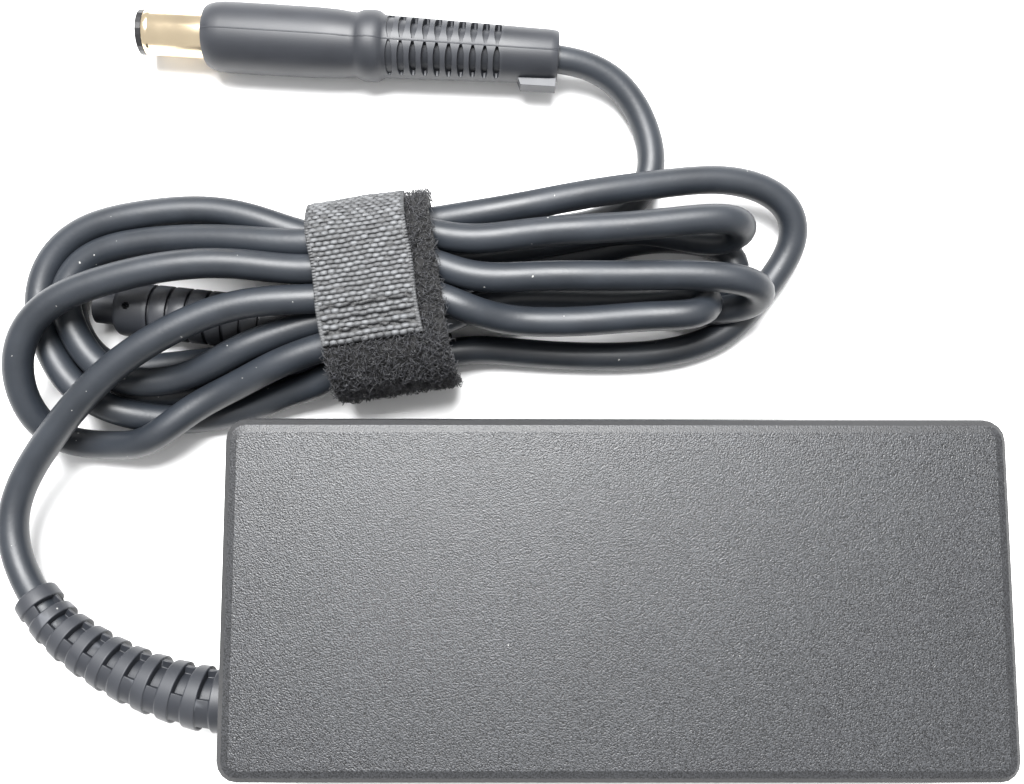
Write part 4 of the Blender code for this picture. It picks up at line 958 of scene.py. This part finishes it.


# flat grid whose points are put on the strap by a place function, which also gives each thread's painted highlight and
# its tone
def tapeGrid(columns, rows, place, closed):
    shape = bmesh.new()
    bmesh.ops.create_grid(shape, x_segments=columns, y_segments=rows, size=0.5)
    paintedLightLayer = shape.verts.layers.float.new("paintedThreadLight")
    tones = shape.verts.layers.float.new("threadTone")
    for vert in shape.verts:
        vert.co, vert[paintedLightLayer], vert[tones] = place(vert.co.x + 0.5, vert.co.y + 0.5)
    if closed:
        bmesh.ops.remove_doubles(shape, verts=shape.verts, dist=0.00001)
    return shape


# how far round the hook tape reaches behind the hank
def hookBackWay():
    low, high = 0.0, strapLength(strap["hookRise"]) / 2
    for _ in range(40):
        middle = (low + high) / 2
        if strapSpot(middle, strap["hookRise"])[1] > strap["backEnd"]:
            low = middle
        else:
            high = middle
    return low


hookEnd = hookBackWay()
hookLength = hookEnd - strap["frontEnd"]
threadDraw = numpy.random.default_rng(strap["weaveSeed"])
threadTones = threadDraw.random((90, 30))
threadSlips = threadDraw.random((90, 30))


def hookPlace(across, along):
    x = (across - 0.5) * strap["hookWidth"]
    way = strap["frontEnd"] + along * hookLength
    row = int(along * hookLength / strap["threadAlong"])
    column = across * strap["hookWidth"] / strap["threadAcross"] + 0.5 * (row % 2)
    tone = threadTones[row, int(column)]
    insideX = column % 1 - 0.5
    insideY = along * hookLength / strap["threadAlong"] % 1 - 0.5
    insideY += (threadSlips[row, int(column)] - 0.5) * strap["slip"]
    # the crown shapes each thread's rise and is also its painted highlight: the top of each thread is coloured pale
    crownAndPaintedLight = max(0, 1 - abs(2.0 * insideX) ** 2.6) ** 0.6 * max(0, 1 - abs(2.9 * insideY) ** 2) ** 0.6
    lift = crownAndPaintedLight * strap["threadHeight"] * (0.7 + 0.5 * tone)
    # the stitch rows sink the tape and, through the crown, are also given painted shade
    for stitch in strap["stitchRows"]:
        near = max(0, 1 - abs(way - stitch - 0.12 * math.sin(x * 2.1)) / strap["stitchHalf"])
        lift -= near * strap["stitchDepth"]
        crownAndPaintedLight *= max(0, 1 - 1.4 * near)
    edge = min(across, 1 - across) * strap["hookWidth"]
    # painted highlight along the selvedge's ribs
    if edge < strap["selvedge"]:
        crownAndPaintedLight = 0.35 + 0.4 * (0.5 + 0.5 * math.sin(way * 14))
        lift = 0.10 + 0.08 * math.sin(way * 14)
    wave = 0.10 * math.sin(x * 0.55 + 1) * math.sin(way * 0.4)
    droop = -strap["endDroop"] * max(0, 1 - along * hookLength / 1.6) ** 2
    spot = strapPoint(x + 0.12 * math.sin(way * 0.5), way, strap["hookRise"], lift + wave + droop)
    return spot, crownAndPaintedLight, tone


def loopPlace(across, along):
    x = (across - 0.5) * strap["loopWidth"] + strap["loopShift"]
    length = strapLength(strap["loopRise"])
    way = along * length
    edge = 0.14 * math.sin(way * 1.3) * math.sin(way * 0.37) * (across > 0.5)
    rough = 0.05 * math.sin(x * 5.1 + 3 * math.sin(way * 2.3)) * math.sin(way * 4.4)
    return strapPoint(x + edge, way, strap["loopRise"], rough), 0.5, 0.5


def makeStrapFinish(name, dark, pale, rough, sheen, weave):
    material, tree, shader, place = startMaterial(name, Sheen_Weight=sheen, Sheen_Roughness=0.4)
    shader.inputs["Roughness"].default_value = rough
    # painted highlight and shade: thread tops pale, the ground between threads and the stitch rows dark
    rise = addNode(tree, "ShaderNodeAttribute", attribute_name="paintedThreadLight").outputs["Fac"]
    tone = addNode(tree, "ShaderNodeAttribute", attribute_name="threadTone").outputs["Fac"]
    shade = useGroup(tree, "shadeDrift", Vector=place, Size=0.0022, Amount=0.5, Colour=(*dark, 1))
    top = mathNode(tree, "POWER", rise, 2.0)
    strength = multiply(tree, top, spread(tree, tone, 0.0, 1.0, 0.35, 0.95))
    bright = mixColour(tree, strength, shade["Colour"], (*pale, 1))
    fleck = useGroup(tree, "settledDust", Vector=place, Size=0.0006, Share=0.16)["Mask"]
    fleckShare = multiply(tree, fleck, multiply(tree, rise, 0.7))
    bright = mixColour(tree, fleckShare, bright, (0.5, 0.5, 0.5, 1))
    tree.links.new(bright, shader.inputs["Base Color"])
    fibres = useGroup(tree, "brushLines", Vector=place, Stretch=weave)["Height"]
    finishBump(tree, shader, fibres, 0.00006)
    return material


# pale is the painted highlight colour of the thread tops, dark the painted shade between them
hookFinish = makeStrapFinish(
    "hookWeave", dark=(0.003, 0.0032, 0.004), pale=(0.145, 0.150, 0.158), rough=0.45, sheen=0.05,
    weave=(2500, 14000, 9000),
)
loopFinish = makeStrapFinish(
    "loopPile", dark=(0.004, 0.004, 0.0045), pale=(0.008, 0.008, 0.008), rough=0.85, sheen=0.1,
    weave=(7000, 7000, 7000),
)
pileFinish, pileTree, pileShader, pilePlace = startMaterial("pileThread", Sheen_Weight=0.08)
pileShade = useGroup(
    pileTree, "shadeDrift", Vector=pilePlace, Size=0.0007, Amount=1.9, Colour=(0.017, 0.0176, 0.021, 1)
)
pileTree.links.new(pileShade["Colour"], pileShader.inputs["Base Color"])
pileTree.links.new(spread(pileTree, pileShade["Value"], 0, 1, 0.32, 0.5), pileShader.inputs["Roughness"])


def makeStrap():
    perThread = strap["vertsPerThread"]
    columns = round(strap["hookWidth"] / strap["threadAcross"]) * perThread
    rows = round(hookLength / strap["threadAlong"]) * perThread
    hook = newPiece("hook_tape", tapeGrid(columns, rows, hookPlace, False), hookFinish,
                    ("strap_hook_tape",), sharp=180, merge=0.0000001)
    loop = newPiece("loop_tape", tapeGrid(60, 260, loopPlace, True), loopFinish,
                    ("strap_loop_tape",), sharp=180)
    for piece, thickness in ((hook, strap["hookThickness"]), (loop, strap["loopThickness"])):
        wall = piece.modifiers.new("tapeThickness", "SOLIDIFY")
        wall.thickness = thickness * mm
        wall.offset = 0
        wall.use_even_offset = False
    draw = numpy.random.default_rng(strap["pileSeed"])
    outer = strap["loopRise"] + strap["loopThickness"] / 2
    frontReach = strapLength(outer) / 2 - strap["pileStop"]
    loopLeft = strap["loopShift"] - strap["loopWidth"] / 2
    loopRight = strap["loopShift"] + strap["loopWidth"] / 2
    threads = []
    for number in range(strap["pileCount"]):
        if number % 3 == 0:  # the strip beside the hook tape
            across = draw.uniform(strap["hookWidth"] / 2 - 0.4, loopRight + 0.1)
            way = draw.uniform(-frontReach, frontReach)
        else:  # the front of the loop tape, past the hook tape's end
            across = draw.uniform(loopLeft, loopRight)
            way = draw.uniform(-frontReach, strap["frontEnd"] + 0.3)
        heading = draw.uniform(0, math.tau)
        spanWide, height = draw.uniform(*strap["pileSpan"]), draw.uniform(*strap["pileHeight"])
        curl, lean = draw.uniform(-0.5, 0.5), draw.normal(0, strap["pileLean"], 2)
        stepX, stepY = math.cos(heading) * spanWide, math.sin(heading) * spanWide
        thread = []
        for share in (0, 0.18, 0.5, 0.82, 1):
            arch = math.sin(math.pi * share)
            side = curl * math.sin(math.tau * share)
            threadAcross = across + stepX * (share - 0.5) - stepY * side + lean[0] * arch
            threadWay = way + stepY * (share - 0.5) + stepX * side + lean[1] * arch
            thread.append(tuple(strapPoint(threadAcross, threadWay, outer, height * arch - 0.08)))
        threads.append(thread)
    pile = curvePiece("pile_threads", threads, strap["pileRadius"] * mm, kind="POLY", facets=0, detail=1)
    pile.data.use_fill_caps = False
    joinUp(pile, pileFinish)
    print("strap woven,", len(threads), "pile threads; hook tape", round(hookLength, 1), "mm long")


makeStrap()

# floor
floorShape = bmesh.new()
bmesh.ops.create_grid(floorShape, x_segments=1, y_segments=1, size=2.0)
floorMesh = bpy.data.meshes.new("paleFloor")
floorShape.to_mesh(floorMesh)
floorShape.free()
floorObject = bpy.data.objects.new("paleFloor", floorMesh)
floorMaterial, floorTree, floorShader, floorPlace = startMaterial("paleTable", Roughness=0.9)
floorTone = useGroup(floorTree, "shadeDrift", Vector=floorPlace, Size=0.3, Amount=0.02, Colour=(0.9, 0.9, 0.9, 1))
floorTree.links.new(floorTone["Colour"], floorShader.inputs["Base Color"])
floorMesh.materials.append(floorMaterial)
sceneObjects.objects.link(floorObject)
